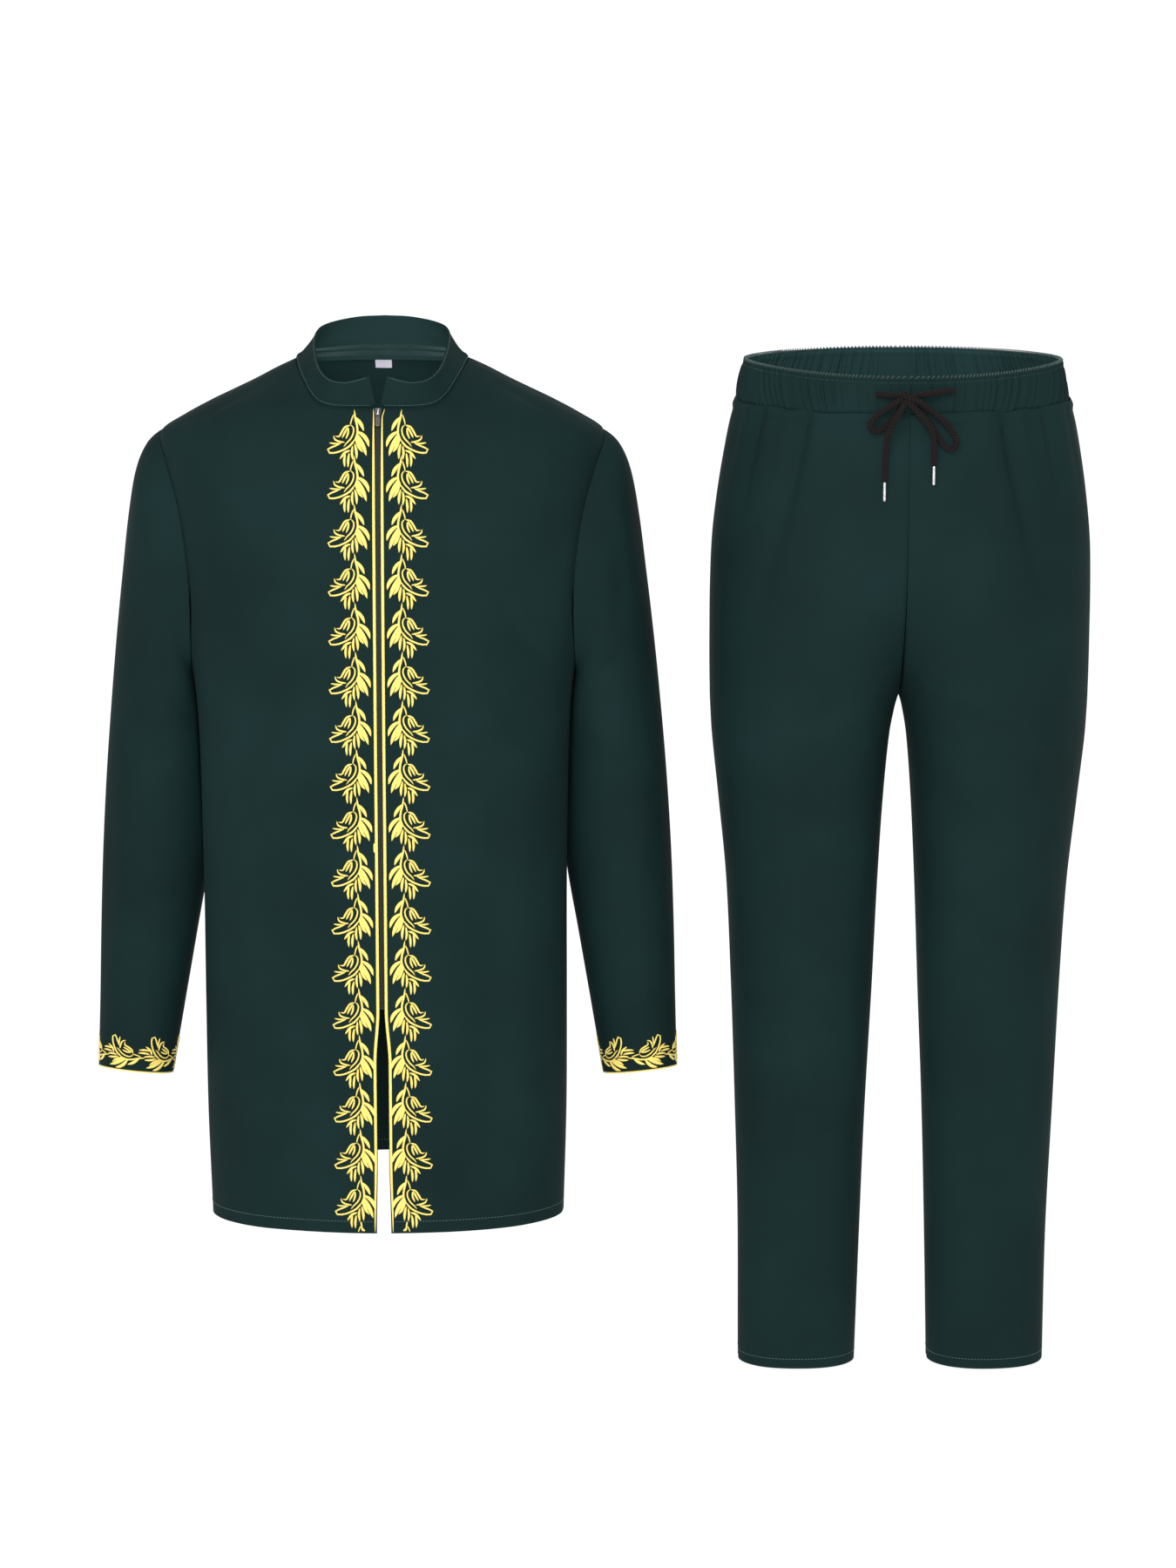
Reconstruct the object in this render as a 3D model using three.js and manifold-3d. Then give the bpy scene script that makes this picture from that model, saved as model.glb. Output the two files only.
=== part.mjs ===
// A kurta suit: a long tunic with a stand collar and a front zip, beside its trousers with a gathered waist.
// Both garments are filled out and hollow. Units are millimetres, +Z is up and the front faces -Y.
// The origin is between the two neck points of the kurta. Left and right are the wearer's, so left is +X.

import * as THREE from 'three';
import { mergeVertices } from 'three/addons/utils/BufferGeometryUtils.js';
import Module from 'manifold-3d';

const wasm = await Module();
wasm.setup();

// Driving dimensions

const CLOTH = 2; // wall of a cut piece
const SEAM_GAP = 0.3; // between neighbouring pieces
const ROUNDNESS = 2.25; // exponent of a level section, where 2 is an ellipse

const NECK_HALF = 86; // from the centre line to the neck point
const SHOULDER_HALF = 218; // from the centre line to the shoulder tip
const UNDERARM_Z = -305;
const HEM_Z = -857;
const BACK_HEM_RISE = 25; // the back hem is that much shorter at its centre

const ZIP_TOP_Z = -42;
const ZIP_END_Z = -629;
const ZIP_HALF_CHANNEL = 2.3; // from the centre line to a front edge along the zip

const TROUSERS_X = 511; // the centre line of the trousers
const CROTCH_Z = -334;
const GATHERS = 60; // round the waistband

const CORD_RADIUS = 2.9;
const AGLET = { radius: 1.6, length: 18.5 };

// Level sections of the torso. side is the half width, mid is the Y of the side line,
// and front and back are the depths on either side of it
const TORSO = [
  { z: 6, side: 76, front: 30, back: 52, mid: 8 },
  { z: 0, side: 86, front: 37, back: 57, mid: 8 },
  { z: -9, side: 105, front: 53, back: 68, mid: 8 },
  { z: -20, side: 126, front: 70, back: 79, mid: 7.5 },
  { z: -31, side: 149, front: 84, back: 87, mid: 7 },
  { z: -40, side: 168, front: 95, back: 92, mid: 6.5 },
  { z: -55, side: 196, front: 102, back: 98, mid: 6 },
  { z: -70, side: 218, front: 106, back: 103, mid: 5 },
  { z: -100, side: 220, front: 110, back: 109, mid: 4 },
  { z: -140, side: 217, front: 113, back: 115, mid: 2 },
  { z: -190, side: 213, front: 112, back: 118, mid: -1 },
  { z: -250, side: 202, front: 110, back: 119, mid: -5 },
  { z: -305, side: 190, front: 108, back: 119, mid: -8 },
  { z: -360, side: 185, front: 105, back: 118, mid: -12 },
  { z: -440, side: 183, front: 102, back: 118, mid: -14 },
  { z: -530, side: 182, front: 101, back: 118, mid: -15 },
  { z: -640, side: 182, front: 99, back: 121, mid: -16 },
  { z: -750, side: 181.5, front: 98, back: 124, mid: -16 },
  { z: -857, side: 178.5, front: 97, back: 126, mid: -16 },
];

// The neck seam from the centre out to the neck point
const NECK_FRONT = [
  { x: 2.3, z: -40 },
  { x: 30, z: -40 },
  { x: 49, z: -38.6 },
  { x: 59, z: -35 },
  { x: 67, z: -28 },
  { x: 74, z: -18 },
  { x: 80, z: -9 },
  { x: 86, z: 0 },
];
const NECK_BACK = [
  { x: 0, z: -5 },
  { x: 35, z: -5 },
  { x: 60, z: -5 },
  { x: 75, z: -3.6 },
  { x: 86, z: 0 },
];

// The collar's top edge on the left, from the open front round to the centre of the back
const COLLAR_TOP = [
  { x: 8.5, y: -86, z: -10 },
  { x: 20, y: -86.5, z: -13.5 },
  { x: 33, y: -84, z: -16 },
  { x: 46, y: -77, z: -14.5 },
  { x: 55, y: -65, z: -9 },
  { x: 61, y: -47, z: -1 },
  { x: 64.5, y: -25, z: 9 },
  { x: 66, y: 0, z: 18 },
  { x: 65, y: 25, z: 25 },
  { x: 59, y: 47, z: 29 },
  { x: 45, y: 62, z: 32.5 },
  { x: 24, y: 69.5, z: 35.5 },
  { x: 0, y: 71, z: 36.5 },
];

// Sections of the left sleeve from the armhole to the cuff: its outer and inner point, and its middle and
// half depth along Y
const SLEEVE = [
  { outX: 218, outZ: -70, inX: 190, inZ: -305, mid: 0, depth: 57 },
  { outX: 233, outZ: -86, inX: 191, inZ: -311, mid: 4, depth: 60 },
  { outX: 244, outZ: -112, inX: 190, inZ: -319, mid: 8, depth: 61 },
  { outX: 252.5, outZ: -156, inX: 186, inZ: -332, mid: 13, depth: 61 },
  { outX: 260, outZ: -212, inX: 181, inZ: -352, mid: 18, depth: 60 },
  { outX: 267.5, outZ: -275, inX: 177, inZ: -380, mid: 22, depth: 58.5 },
  { outX: 274.5, outZ: -345, inX: 175, inZ: -418, mid: 25, depth: 56.5 },
  { outX: 281, outZ: -420, inX: 176, inZ: -464, mid: 26, depth: 53.5 },
  { outX: 286, outZ: -495, inX: 181, inZ: -515, mid: 25, depth: 50 },
  { outX: 289, outZ: -570, inX: 192, inZ: -577, mid: 19, depth: 45.5 },
  { outX: 290.5, outZ: -645, inX: 204.5, inZ: -648, mid: 8, depth: 40.5 },
  { outX: 292, outZ: -712, inX: 217, inZ: -720, mid: -3, depth: 36 },
];
const CUFF_TILT = 0.15; // how far the cuff's front edge is raised for each millimetre forward

// Level sections of the left trouser leg. outer and inner are its X from the centre line; above the crotch
// inner is past the centre line, where the seam cuts the section
const LEG = [
  { z: -30, outer: 161, inner: -161, front: 97, back: 97, mid: 0 },
  { z: -42, outer: 164, inner: -164, front: 98, back: 98, mid: 0 },
  { z: -62, outer: 169.5, inner: -165, front: 99.5, back: 101, mid: 0 },
  { z: -90, outer: 175, inner: -160, front: 101, back: 106, mid: 0 },
  { z: -130, outer: 181.5, inner: -145, front: 103, back: 112, mid: 1 },
  { z: -175, outer: 186.5, inner: -115, front: 104, back: 117, mid: 2 },
  { z: -225, outer: 188.3, inner: -72, front: 103, back: 118, mid: 4 },
  { z: -270, outer: 188.5, inner: -35, front: 100, back: 115, mid: 6 },
  { z: -300, outer: 188.4, inner: -14.5, front: 97.5, back: 111.7, mid: 7 },
  { z: -318, outer: 188.1, inner: -5.6, front: 95.6, back: 109.3, mid: 7.5 },
  { z: -328, outer: 187.9, inner: -1.6, front: 94.6, back: 107.9, mid: 7.8 },
  { z: -334, outer: 187.8, inner: 0, front: 94, back: 107, mid: 8 },
  { z: -346, outer: 187.3, inner: 3.4, front: 92.5, back: 105.3, mid: 8 },
  { z: -375, outer: 185.5, inner: 8.5, front: 89, back: 101, mid: 8 },
  { z: -440, outer: 178.5, inner: 14, front: 82, back: 91, mid: 8 },
  { z: -520, outer: 170.5, inner: 18.5, front: 75, back: 80, mid: 7 },
  { z: -620, outer: 165.5, inner: 23, front: 67, back: 70, mid: 5 },
  { z: -740, outer: 161, inner: 28.5, front: 58, back: 61, mid: 3 },
  { z: -880, outer: 156.5, inner: 33, front: 50, back: 52, mid: 1 },
  { z: -1019.5, outer: 155.5, inner: 37, front: 45, back: 46, mid: 0 },
];

// Soft pleats that hang from the waistband. turn is in degrees from the side seam, and -1 is the front
const PLEATS = [
  { leg: -1, face: -1, turn: 32, depth: 3.2, width: 5, fall: 150 },
  { leg: -1, face: -1, turn: 55, depth: 5, width: 4.5, fall: 230 },
  { leg: -1, face: -1, turn: 67, depth: 2.6, width: 4, fall: 110 },
  { leg: 1, face: -1, turn: 37, depth: 3.4, width: 5, fall: 130 },
  { leg: 1, face: -1, turn: 58, depth: 4.6, width: 4.5, fall: 210 },
  { leg: 1, face: -1, turn: 72, depth: 2.2, width: 4, fall: 90 },
  { leg: -1, face: 1, turn: 30, depth: 3, width: 5.5, fall: 130 },
  { leg: -1, face: 1, turn: 61, depth: 4, width: 5, fall: 170 },
  { leg: 1, face: 1, turn: 41, depth: 3.6, width: 5.5, fall: 150 },
  { leg: 1, face: 1, turn: 69, depth: 3, width: 5, fall: 120 },
];

// The bow's strands, from the trousers' centre line: lead from the eyelet, loop, and hanging tail
const BOW = {
  knot: { x: -3, y: -107.5, z: -29.5, halfWidth: 6.5, halfDepth: 7.5, halfHeight: 6.5 },
  lead_right: [[-32, -96.8, -27], [-27, -99.7, -26.6], [-20, -101.8, -27.2], [-9.4, -103.1, -28.7]],
  lead_left: [[42, -95.9, -23.5], [36, -99.1, -23.4], [24, -101.9, -24.8], [12, -103, -26.6], [3.5, -103.3, -28.3]],
  loop_right: [[-10.1, -109.9, -31.4], [-18, -108.6, -36.5], [-28, -106, -43.5], [-35.5, -104.6, -50.5],
    [-38.5, -104, -57], [-34, -104, -61.5], [-26, -104, -59], [-18.5, -104, -51.5], [-12.6, -104, -43.5],
    [-6.8, -104.7, -35.1]],
  loop_left: [[4.1, -109.9, -31.4], [13, -108.6, -37], [24, -106.6, -45], [34, -105.2, -54.5], [42.5, -104.8, -65],
    [44.5, -104.8, -74], [38.5, -104.8, -79], [31, -104.8, -73.5], [24, -104.6, -62], [16, -104.2, -50],
    [8.6, -104.2, -41.4], [1.9, -104.6, -34.5]],
  tail_right: [[-5.9, -110.8, -35.6], [-11, -112.2, -44.5], [-17, -112.6, -54], [-21.5, -111.6, -64],
    [-23.4, -108.4, -78], [-24, -106.6, -94], [-24, -106.2, -110]],
  tail_left: [[-0.1, -111.2, -35.7], [7.6, -112.7, -44], [15, -113.2, -52.5], [20.5, -112.2, -60.5],
    [22.6, -108.8, -71], [23, -106.4, -82], [23.2, -105.8, -94.5]],
};

// Reading the tables

// A smooth curve through one named column of a table, read at any value of its key
function column(rows, key, name) {
  const sorted = [...rows].sort((a, b) => a[key] - b[key]);
  const at = sorted.map((row) => row[key]);
  const value = sorted.map((row) => row[name]);
  const last = at.length - 1;
  const slope = at.map((_, i) => {
    const low = Math.max(i - 1, 0);
    const high = Math.min(i + 1, last);
    return (value[high] - value[low]) / (at[high] - at[low]);
  });
  return (x) => {
    const clamped = Math.min(Math.max(x, at[0]), at[last]);
    let i = 0;
    while (i < last - 1 && clamped > at[i + 1]) i += 1;
    const span = at[i + 1] - at[i];
    const t = (clamped - at[i]) / span;
    const rise = (value[i + 1] - value[i]) * t * t * (3 - 2 * t);
    return value[i] + rise + span * t * (1 - t) * (slope[i] * (1 - t) - slope[i + 1] * t);
  };
}

function columns(rows, key, names) {
  return Object.fromEntries(names.map((name) => [name, column(rows, key, name)]));
}

const mix = (a, b, t) => a + (b - a) * t;
const radians = (angle) => (angle * Math.PI) / 180;
const power = (value, exponent) => Math.sign(value) * Math.abs(value) ** exponent;

// Walls and meshes

// A closed mesh turned so that its faces point out
function closedGeometry(positions, triangles) {
  const corner = (i) => new THREE.Vector3().fromArray(positions, 3 * i);
  let volume = 0;
  for (let k = 0; k < triangles.length; k += 3) {
    const [a, b, c] = [0, 1, 2].map((step) => corner(triangles[k + step]));
    volume += a.dot(b.cross(c)) / 6;
  }
  const geometry = new THREE.BufferGeometry();
  geometry.setAttribute('position', new THREE.Float32BufferAttribute(positions, 3));
  geometry.setIndex(volume < 0 ? [...triangles].reverse() : triangles);
  geometry.computeVertexNormals();
  return geometry;
}

// A cloth wall. at(row, step) gives the outer point and the outward normal there; with closed set, the last
// column joins the first
function clothWall(rows, steps, at, { thickness = CLOTH, closed = false } = {}) {
  const positions = [];
  const triangles = [];
  const wide = closed ? steps : steps + 1;
  for (const depth of [0, thickness]) {
    for (let i = 0; i <= rows; i += 1) {
      for (let j = 0; j < wide; j += 1) {
        const { point, normal } = at(i, j);
        positions.push(...point.clone().addScaledVector(normal, -depth).toArray());
      }
    }
  }
  const inner = (rows + 1) * wide;
  const index = (i, j) => i * wide + (j % wide);
  const quad = (a, b, c, d) => triangles.push(a, b, c, a, c, d);
  for (let i = 0; i < rows; i += 1) {
    for (let j = 0; j < steps; j += 1) {
      const [a, b, c, d] = [index(i, j), index(i, j + 1), index(i + 1, j + 1), index(i + 1, j)];
      quad(a, b, c, d);
      quad(inner + d, inner + c, inner + b, inner + a);
    }
  }
  const rim = (a, b) => quad(b, a, inner + a, inner + b);
  for (let j = 0; j < steps; j += 1) {
    rim(index(0, j), index(0, j + 1));
    rim(index(rows, j + 1), index(rows, j));
  }
  if (!closed) {
    for (let i = 0; i < rows; i += 1) {
      rim(index(i + 1, 0), index(i, 0));
      rim(index(i, steps), index(i + 1, steps));
    }
  }
  return closedGeometry(positions, triangles);
}

function toSolid(geometry) {
  geometry.deleteAttribute('normal');
  geometry.deleteAttribute('uv');
  const merged = mergeVertices(geometry);
  return new wasm.Manifold(new wasm.Mesh({
    numProp: 3,
    vertProperties: merged.attributes.position.array,
    triVerts: new Uint32Array(merged.index.array),
  }));
}

function fromSolid(solid) {
  const mesh = solid.getMesh();
  const geometry = new THREE.BufferGeometry();
  geometry.setAttribute('position', new THREE.BufferAttribute(mesh.vertProperties, 3));
  geometry.setIndex(new THREE.BufferAttribute(mesh.triVerts, 1));
  geometry.computeVertexNormals();
  return geometry;
}

// The torso's surface

const torso = columns(TORSO, 'z', ['side', 'front', 'back', 'mid']);

// Zero on the torso's surface, less inside and more outside
function torsoField(x, y, z) {
  const ahead = y - torso.mid(z);
  const depth = ahead < 0 ? torso.front(z) : torso.back(z);
  return (Math.abs(x) / torso.side(z)) ** ROUNDNESS + (Math.abs(ahead) / depth) ** ROUNDNESS - 1;
}

function fieldNormal(field, { x, y, z }) {
  const h = 0.4;
  return new THREE.Vector3(
    field(x + h, y, z) - field(x - h, y, z),
    field(x, y + h, z) - field(x, y - h, z),
    field(x, y, z + h) - field(x, y, z - h),
  ).normalize();
}

const torsoNormal = (point) => fieldNormal(torsoField, point);

// face is -1 on the front and 1 on the back
function torsoPoint(x, z, face) {
  const left = Math.max(0, 1 - (Math.abs(x) / torso.side(z)) ** ROUNDNESS);
  const depth = face < 0 ? torso.front(z) : torso.back(z);
  return new THREE.Vector3(x, torso.mid(z) + face * depth * left ** (1 / ROUNDNESS), z);
}

function torsoReach(y, z) {
  const ahead = y - torso.mid(z);
  const depth = ahead < 0 ? torso.front(z) : torso.back(z);
  const left = Math.max(0, 1 - (Math.abs(ahead) / depth) ** ROUNDNESS);
  return torso.side(z) * left ** (1 / ROUNDNESS);
}

// The height of the shoulder line above a point of the centre line's distance x
function shoulderZ(x) {
  let [low, high] = [-70, 6];
  for (let k = 0; k < 40; k += 1) {
    const middle = (low + high) / 2;
    if (torso.side(middle) > x) low = middle;
    else high = middle;
  }
  return (low + high) / 2;
}

// Kurta panels

const ARM_ROWS = 8; // rows of a panel beside the armhole, which is also half the steps round a sleeve
const BODY_ROWS = 8; // rows from the underarm to the hem
const NECK_STEPS = { front: 7, back: 6 };
const SHOULDER_STEPS = 7;

function armholeAngle(row) {
  return (Math.PI * row) / ARM_ROWS;
}

// A point of the left armhole; the angle is 0 at the shoulder tip and half a turn under the arm
function armholePoint(angle, face) {
  const { outZ, inZ, mid, depth } = SLEEVE[0];
  const under = UNDERARM_Z;
  const ridge = torso.mid(outZ);
  const along = (1 - Math.cos(angle)) / 2;
  const y = mix(ridge, torso.mid(under), along) + face * depth * Math.sin(angle) + mid * Math.sin(angle);
  const z = mix(outZ, inZ, along);
  return new THREE.Vector3(torsoReach(y, z), y, z);
}

function neckCurve(face) {
  const rows = face < 0 ? NECK_FRONT : NECK_BACK;
  return new THREE.CatmullRomCurve3(rows.map(({ x, z }) => torsoPoint(x, z, face)));
}

const neckCurves = { front: neckCurve(-1), back: neckCurve(1) };

function neckPoints(side) {
  const steps = NECK_STEPS[side];
  return Array.from({ length: steps + 1 }, (_, k) => neckCurves[side].getPointAt(k / steps));
}

const neckRows = { front: neckPoints('front'), back: neckPoints('back') };

const PARTING = { width: 3.4, run: 55, flare: 1.4, flareTop: 780 };

// The front edge runs straight along the zip. The fronts part below it, and flare a little at the hem
function frontEdge(z) {
  const parted = THREE.MathUtils.smoothstep(-z, -ZIP_END_Z, -ZIP_END_Z + PARTING.run);
  const flared = THREE.MathUtils.smoothstep(-z, PARTING.flareTop, -HEM_Z);
  return ZIP_HALF_CHANNEL + PARTING.width * parted + PARTING.flare * flared;
}

// A half panel from its centre edge to the side: one column for each step along the neck and the shoulder
function halfPanel(side) {
  const face = side === 'front' ? -1 : 1;
  const neck = neckRows[side];
  const neckSteps = NECK_STEPS[side];
  const steps = neckSteps + SHOULDER_STEPS;
  const centre = (z) => (side === 'front' ? frontEdge(z) : 0);
  const top = Array.from({ length: steps + 1 }, (_, j) => {
    if (j <= neckSteps) return { x: neck[j].x, z: neck[j].z };
    const x = mix(NECK_HALF, SHOULDER_HALF, Math.sin((Math.PI / 2) * ((j - neckSteps) / SHOULDER_STEPS)));
    return { x, z: shoulderZ(x) };
  });
  const topShare = top.map(({ x }) => (x - centre(0)) / (SHOULDER_HALF - centre(0)));
  const evenShare = top.map((_, j) => Math.sin((Math.PI / 2) * (j / steps)) ** 1.1);
  const hem = (f) => HEM_Z + (side === 'back' ? BACK_HEM_RISE * (1 - f * f) : 0);
  return {
    steps,
    rows: ARM_ROWS + BODY_ROWS,
    at(i, j) {
      const f = mix(topShare[j], evenShare[j], THREE.MathUtils.smoothstep(i, 0, ARM_ROWS));
      if (i <= ARM_ROWS) {
        const t = i / ARM_ROWS;
        const arm = armholePoint(armholeAngle(i), face);
        if (j === steps) return arm;
        if (i === 0) return torsoPoint(top[j].x, top[j].z, face);
        const inside = t ** 1.7;
        const beside = (1 - Math.cos(Math.PI * t)) / 2;
        const z = mix(top[j].z, UNDERARM_Z, mix(inside, beside, f ** 5));
        return torsoPoint(mix(centre(z), arm.x, f), z, face);
      }
      const t = (i - ARM_ROWS) / BODY_ROWS;
      const z = mix(UNDERARM_Z, hem(f), t);
      return torsoPoint(mix(centre(z), torso.side(z), f), z, face);
    },
  };
}

const frontHalf = halfPanel('front');
const backHalf = halfPanel('back');

// A front on the wearer's left (1) or right (-1)
function frontPanel(hand) {
  return clothWall(frontHalf.rows, frontHalf.steps, (i, j) => {
    const point = frontHalf.at(i, j);
    point.x *= hand;
    const normal = torsoNormal(point);
    point.y -= SEAM_GAP / 2;
    return { point, normal };
  });
}

function backPanel() {
  const { steps, rows } = backHalf;
  return clothWall(rows, 2 * steps, (i, j) => {
    const point = backHalf.at(i, Math.abs(j - steps));
    point.x *= Math.sign(j - steps);
    const normal = torsoNormal(point);
    point.y += SEAM_GAP / 2;
    return { point, normal };
  });
}

// Sleeves

const sleeveRows = SLEEVE.map((row, k) => ({ ...row, k }));
const sleeve = columns(sleeveRows, 'k', ['outX', 'outZ', 'inX', 'inZ', 'mid', 'depth']);
const CAP_REACH = 3; // sections over which the sleeve takes over from the armhole's form
const BODY_CLEARANCE = { cap: 0.4, below: 1.4 }; // from the sleeve's outer face to the torso's

// A point of the left sleeve's surface. v counts sections from the armhole, and the angle is 0 outside,
// a quarter turn at the back and minus a quarter at the front
function sleevePoint(v, angle) {
  const face = Math.sin(angle) < 0 ? -1 : 1;
  const seam = armholePoint(Math.acos(Math.cos(angle)), face);
  if (v <= 0) return seam;
  const across = (1 - Math.cos(angle)) / 2;
  const last = SLEEVE.length - 1;
  const x = mix(sleeve.outX(v), sleeve.inX(v), across);
  const y = sleeve.mid(v) + sleeve.depth(v) * Math.sin(angle);
  const rise = -CUFF_TILT * (y - sleeve.mid(v)) * THREE.MathUtils.smoothstep(v, last - 4, last);
  const z = mix(sleeve.outZ(v), sleeve.inZ(v), across) + rise;
  const plain = new THREE.Vector3(x, y, z);
  const first = new THREE.Vector3(
    mix(sleeve.outX(0), sleeve.inX(0), across),
    sleeve.mid(0) + sleeve.depth(0) * Math.sin(angle),
    mix(sleeve.outZ(0), sleeve.inZ(0), across),
  );
  const point = plain.addScaledVector(seam.clone().sub(first), 1 - THREE.MathUtils.smoothstep(v, 0, CAP_REACH));
  const clear = mix(BODY_CLEARANCE.cap, BODY_CLEARANCE.below, Math.min(1, v / 2));
  point.x = Math.max(point.x, torsoReach(point.y, point.z) + clear);
  return point;
}

function sleeveNormal(v, angle) {
  const point = sleevePoint(0, angle);
  if (v <= 0) return torsoNormal(point);
  const h = 0.05;
  const round = sleevePoint(v, angle + h).sub(sleevePoint(v, angle - h));
  const along = sleevePoint(v + h, angle).sub(sleevePoint(v - h, angle));
  return along.cross(round).normalize();
}

function sleevePiece(hand) {
  const around = 2 * ARM_ROWS;
  return clothWall(SLEEVE.length - 1, around, (i, j) => {
    const angle = (2 * Math.PI * j) / around;
    const point = sleevePoint(i, angle);
    const normal = sleeveNormal(i, angle);
    if (i === 0) {
      const onward = sleevePoint(0.4, angle).sub(point);
      onward.addScaledVector(normal, -onward.dot(normal)).normalize();
      point.addScaledVector(onward, 1.5 * SEAM_GAP);
    }
    point.x *= hand;
    normal.x *= hand;
    return { point, normal };
  }, { closed: true });
}

// Collar

const COLLAR_ROWS = 3;
const COLLAR_THICKNESS = 1.8;
const COLLAR_WAIST = 3; // how far the collar is drawn in halfway up its sides
const collarTop = new THREE.CatmullRomCurve3(COLLAR_TOP.map(({ x, y, z }) => new THREE.Vector3(x, y, z)));

function collarSteps() {
  const lengthTo = (points) => points.reduce(
    (sum, point, k) => sum + (k ? point.distanceTo(points[k - 1]) : 0), 0,
  );
  const half = [...neckRows.front, ...[...neckRows.back].reverse().slice(1)];
  const whole = lengthTo(half);
  return half.map((base, k) => ({ base, share: lengthTo(half.slice(0, k + 1)) / whole }));
}

const collarHalf = collarSteps();

// A point of the collar's outer surface, from the seam (0) to the top edge (1)
function collarPoint({ base, share }, up) {
  const top = collarTop.getPointAt(share);
  const waist = base.clone().lerp(top, 0.5);
  const inward = new THREE.Vector3(-waist.x, -waist.y, 0).normalize();
  const side = Math.sin(Math.PI * share);
  waist.addScaledVector(inward, COLLAR_WAIST * side);
  const start = base.clone().lerp(waist, 0.03);
  const a = start.multiplyScalar((1 - up) ** 2);
  const b = waist.multiplyScalar(2 * up * (1 - up));
  return a.add(b).add(top.multiplyScalar(up * up));
}

function collar() {
  const last = collarHalf.length - 1;
  const pointAt = (i, j) => {
    const k = j <= last ? j : 2 * last - j;
    const point = collarPoint(collarHalf[k], i / COLLAR_ROWS);
    if (i === 0 && k < last) point.x = Math.max(point.x, ZIP_HALF_CHANNEL);
    point.x *= j <= last ? 1 : -1;
    return point;
  };
  const steps = 2 * last;
  return clothWall(COLLAR_ROWS, steps, (i, j) => {
    const point = pointAt(i, j);
    const round = pointAt(i, Math.min(j + 1, steps)).sub(pointAt(i, Math.max(j - 1, 0)));
    const up = pointAt(Math.min(i + 1, COLLAR_ROWS), j).sub(pointAt(Math.max(i - 1, 0), j));
    return { point, normal: round.cross(up).normalize() };
  }, { thickness: COLLAR_THICKNESS });
}

// Size label, hung from the seam inside the back of the neck

const LABEL = { width: 16.5, height: 8.5, thickness: 1, x: -2 };

function sizeLabel() {
  const rows = 1;
  const steps = 4;
  return clothWall(rows, steps, (i, j) => {
    const x = LABEL.x + LABEL.width * (j / steps - 0.5);
    const z = NECK_BACK[0].z - 0.5 - (LABEL.height * i) / rows;
    const point = torsoPoint(x, z, 1);
    const normal = torsoNormal(point);
    point.addScaledVector(normal, -(CLOTH + SEAM_GAP));
    return { point, normal };
  }, { thickness: LABEL.thickness });
}

// Zip

const ZIP_ROWS = 14;
const CHAIN_HALF = 1.9;
const TAPE = { inner: 0.3, outer: 12.5, thickness: 1 };

// A strip that follows the closed front edges, set back from the cloth's outer face by depth
function zipStrip(from, to, depth, thickness) {
  return clothWall(ZIP_ROWS, 1, (i, j) => {
    const z = mix(ZIP_TOP_Z, ZIP_END_Z, i / ZIP_ROWS);
    const point = torsoPoint(j === 0 ? from : to, z, -1);
    const normal = torsoNormal(point);
    point.addScaledVector(normal, -depth);
    return { point, normal };
  }, { thickness });
}

const CHAIN_DEPTH = 0.3;
const CHAIN_THICKNESS = CLOTH - CHAIN_DEPTH - 0.1;
const TAPE_DEPTH = CLOTH + SEAM_GAP;

const SLIDER = { width: 5.6, height: 8, depth: 1.6, bridgeWidth: 1.5, bridge: 3.4, bar: 0.75 };
const TAB = { bar: 0.45, gap: 1.4, arm: 0.8, width: 4.4, plateTop: 5.2, length: 14.5, thickness: 0.9 };
const SLIDER_Z = -45;

function block(width, depth, height, x, y, z) {
  return toSolid(new THREE.BoxGeometry(width, depth, height).translate(x, y, z));
}

// The slider's own frame has its back face at Y 0 and its front towards -Y
function zipSlider() {
  const { width, height, depth, bridgeWidth, bridge, bar } = SLIDER;
  const outline = new THREE.Shape();
  outline.moveTo(-width / 2, height / 2);
  outline.lineTo(width / 2, height / 2);
  outline.lineTo(width / 2, -height / 6);
  outline.lineTo(width / 3, -height / 2);
  outline.lineTo(-width / 3, -height / 2);
  outline.lineTo(-width / 2, -height / 6);
  outline.closePath();
  const plate = new THREE.ExtrudeGeometry(outline, { depth, bevelEnabled: false });
  plate.rotateX(Math.PI / 2);
  const reach = bridge - depth;
  const post = (z) => block(bridgeWidth, reach + 0.2, bar * 1.2, 0, -depth - reach / 2 + 0.1, z);
  const cover = block(bridgeWidth, bar, 0.76 * height, 0, -bridge - bar / 2 + 0.1, 0);
  return fromSolid(toSolid(plate).add(post(0.34 * height)).add(post(-0.34 * height)).add(cover));
}

// The pull tab turns on a cross bar under the slider's bridge; its own origin is on that bar
function zipTab() {
  const { bar, gap, arm, width, plateTop, length, thickness } = TAB;
  const cross = new THREE.CylinderGeometry(bar, bar, 2 * gap + 2 * arm, 12).rotateZ(Math.PI / 2);
  const armLength = plateTop + 0.6;
  const side = (hand) => block(arm, thickness, armLength, hand * (gap + arm / 2), 0, 0.5 - armLength / 2);
  const outline = new THREE.Shape();
  outline.moveTo(-width / 2, 0);
  outline.lineTo(width / 2, 0);
  outline.lineTo(width / 2, plateTop - length + 1.2);
  outline.absarc(0, plateTop - length + 1.2, width / 2, 0, -Math.PI, true);
  outline.closePath();
  const plate = new THREE.ExtrudeGeometry(outline, { depth: thickness, bevelEnabled: false, curveSegments: 8 });
  plate.rotateX(Math.PI / 2).translate(0, thickness / 2, -plateTop);
  return fromSolid(toSolid(cross).add(side(1)).add(side(-1)).add(toSolid(plate)));
}

// Trouser legs

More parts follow.
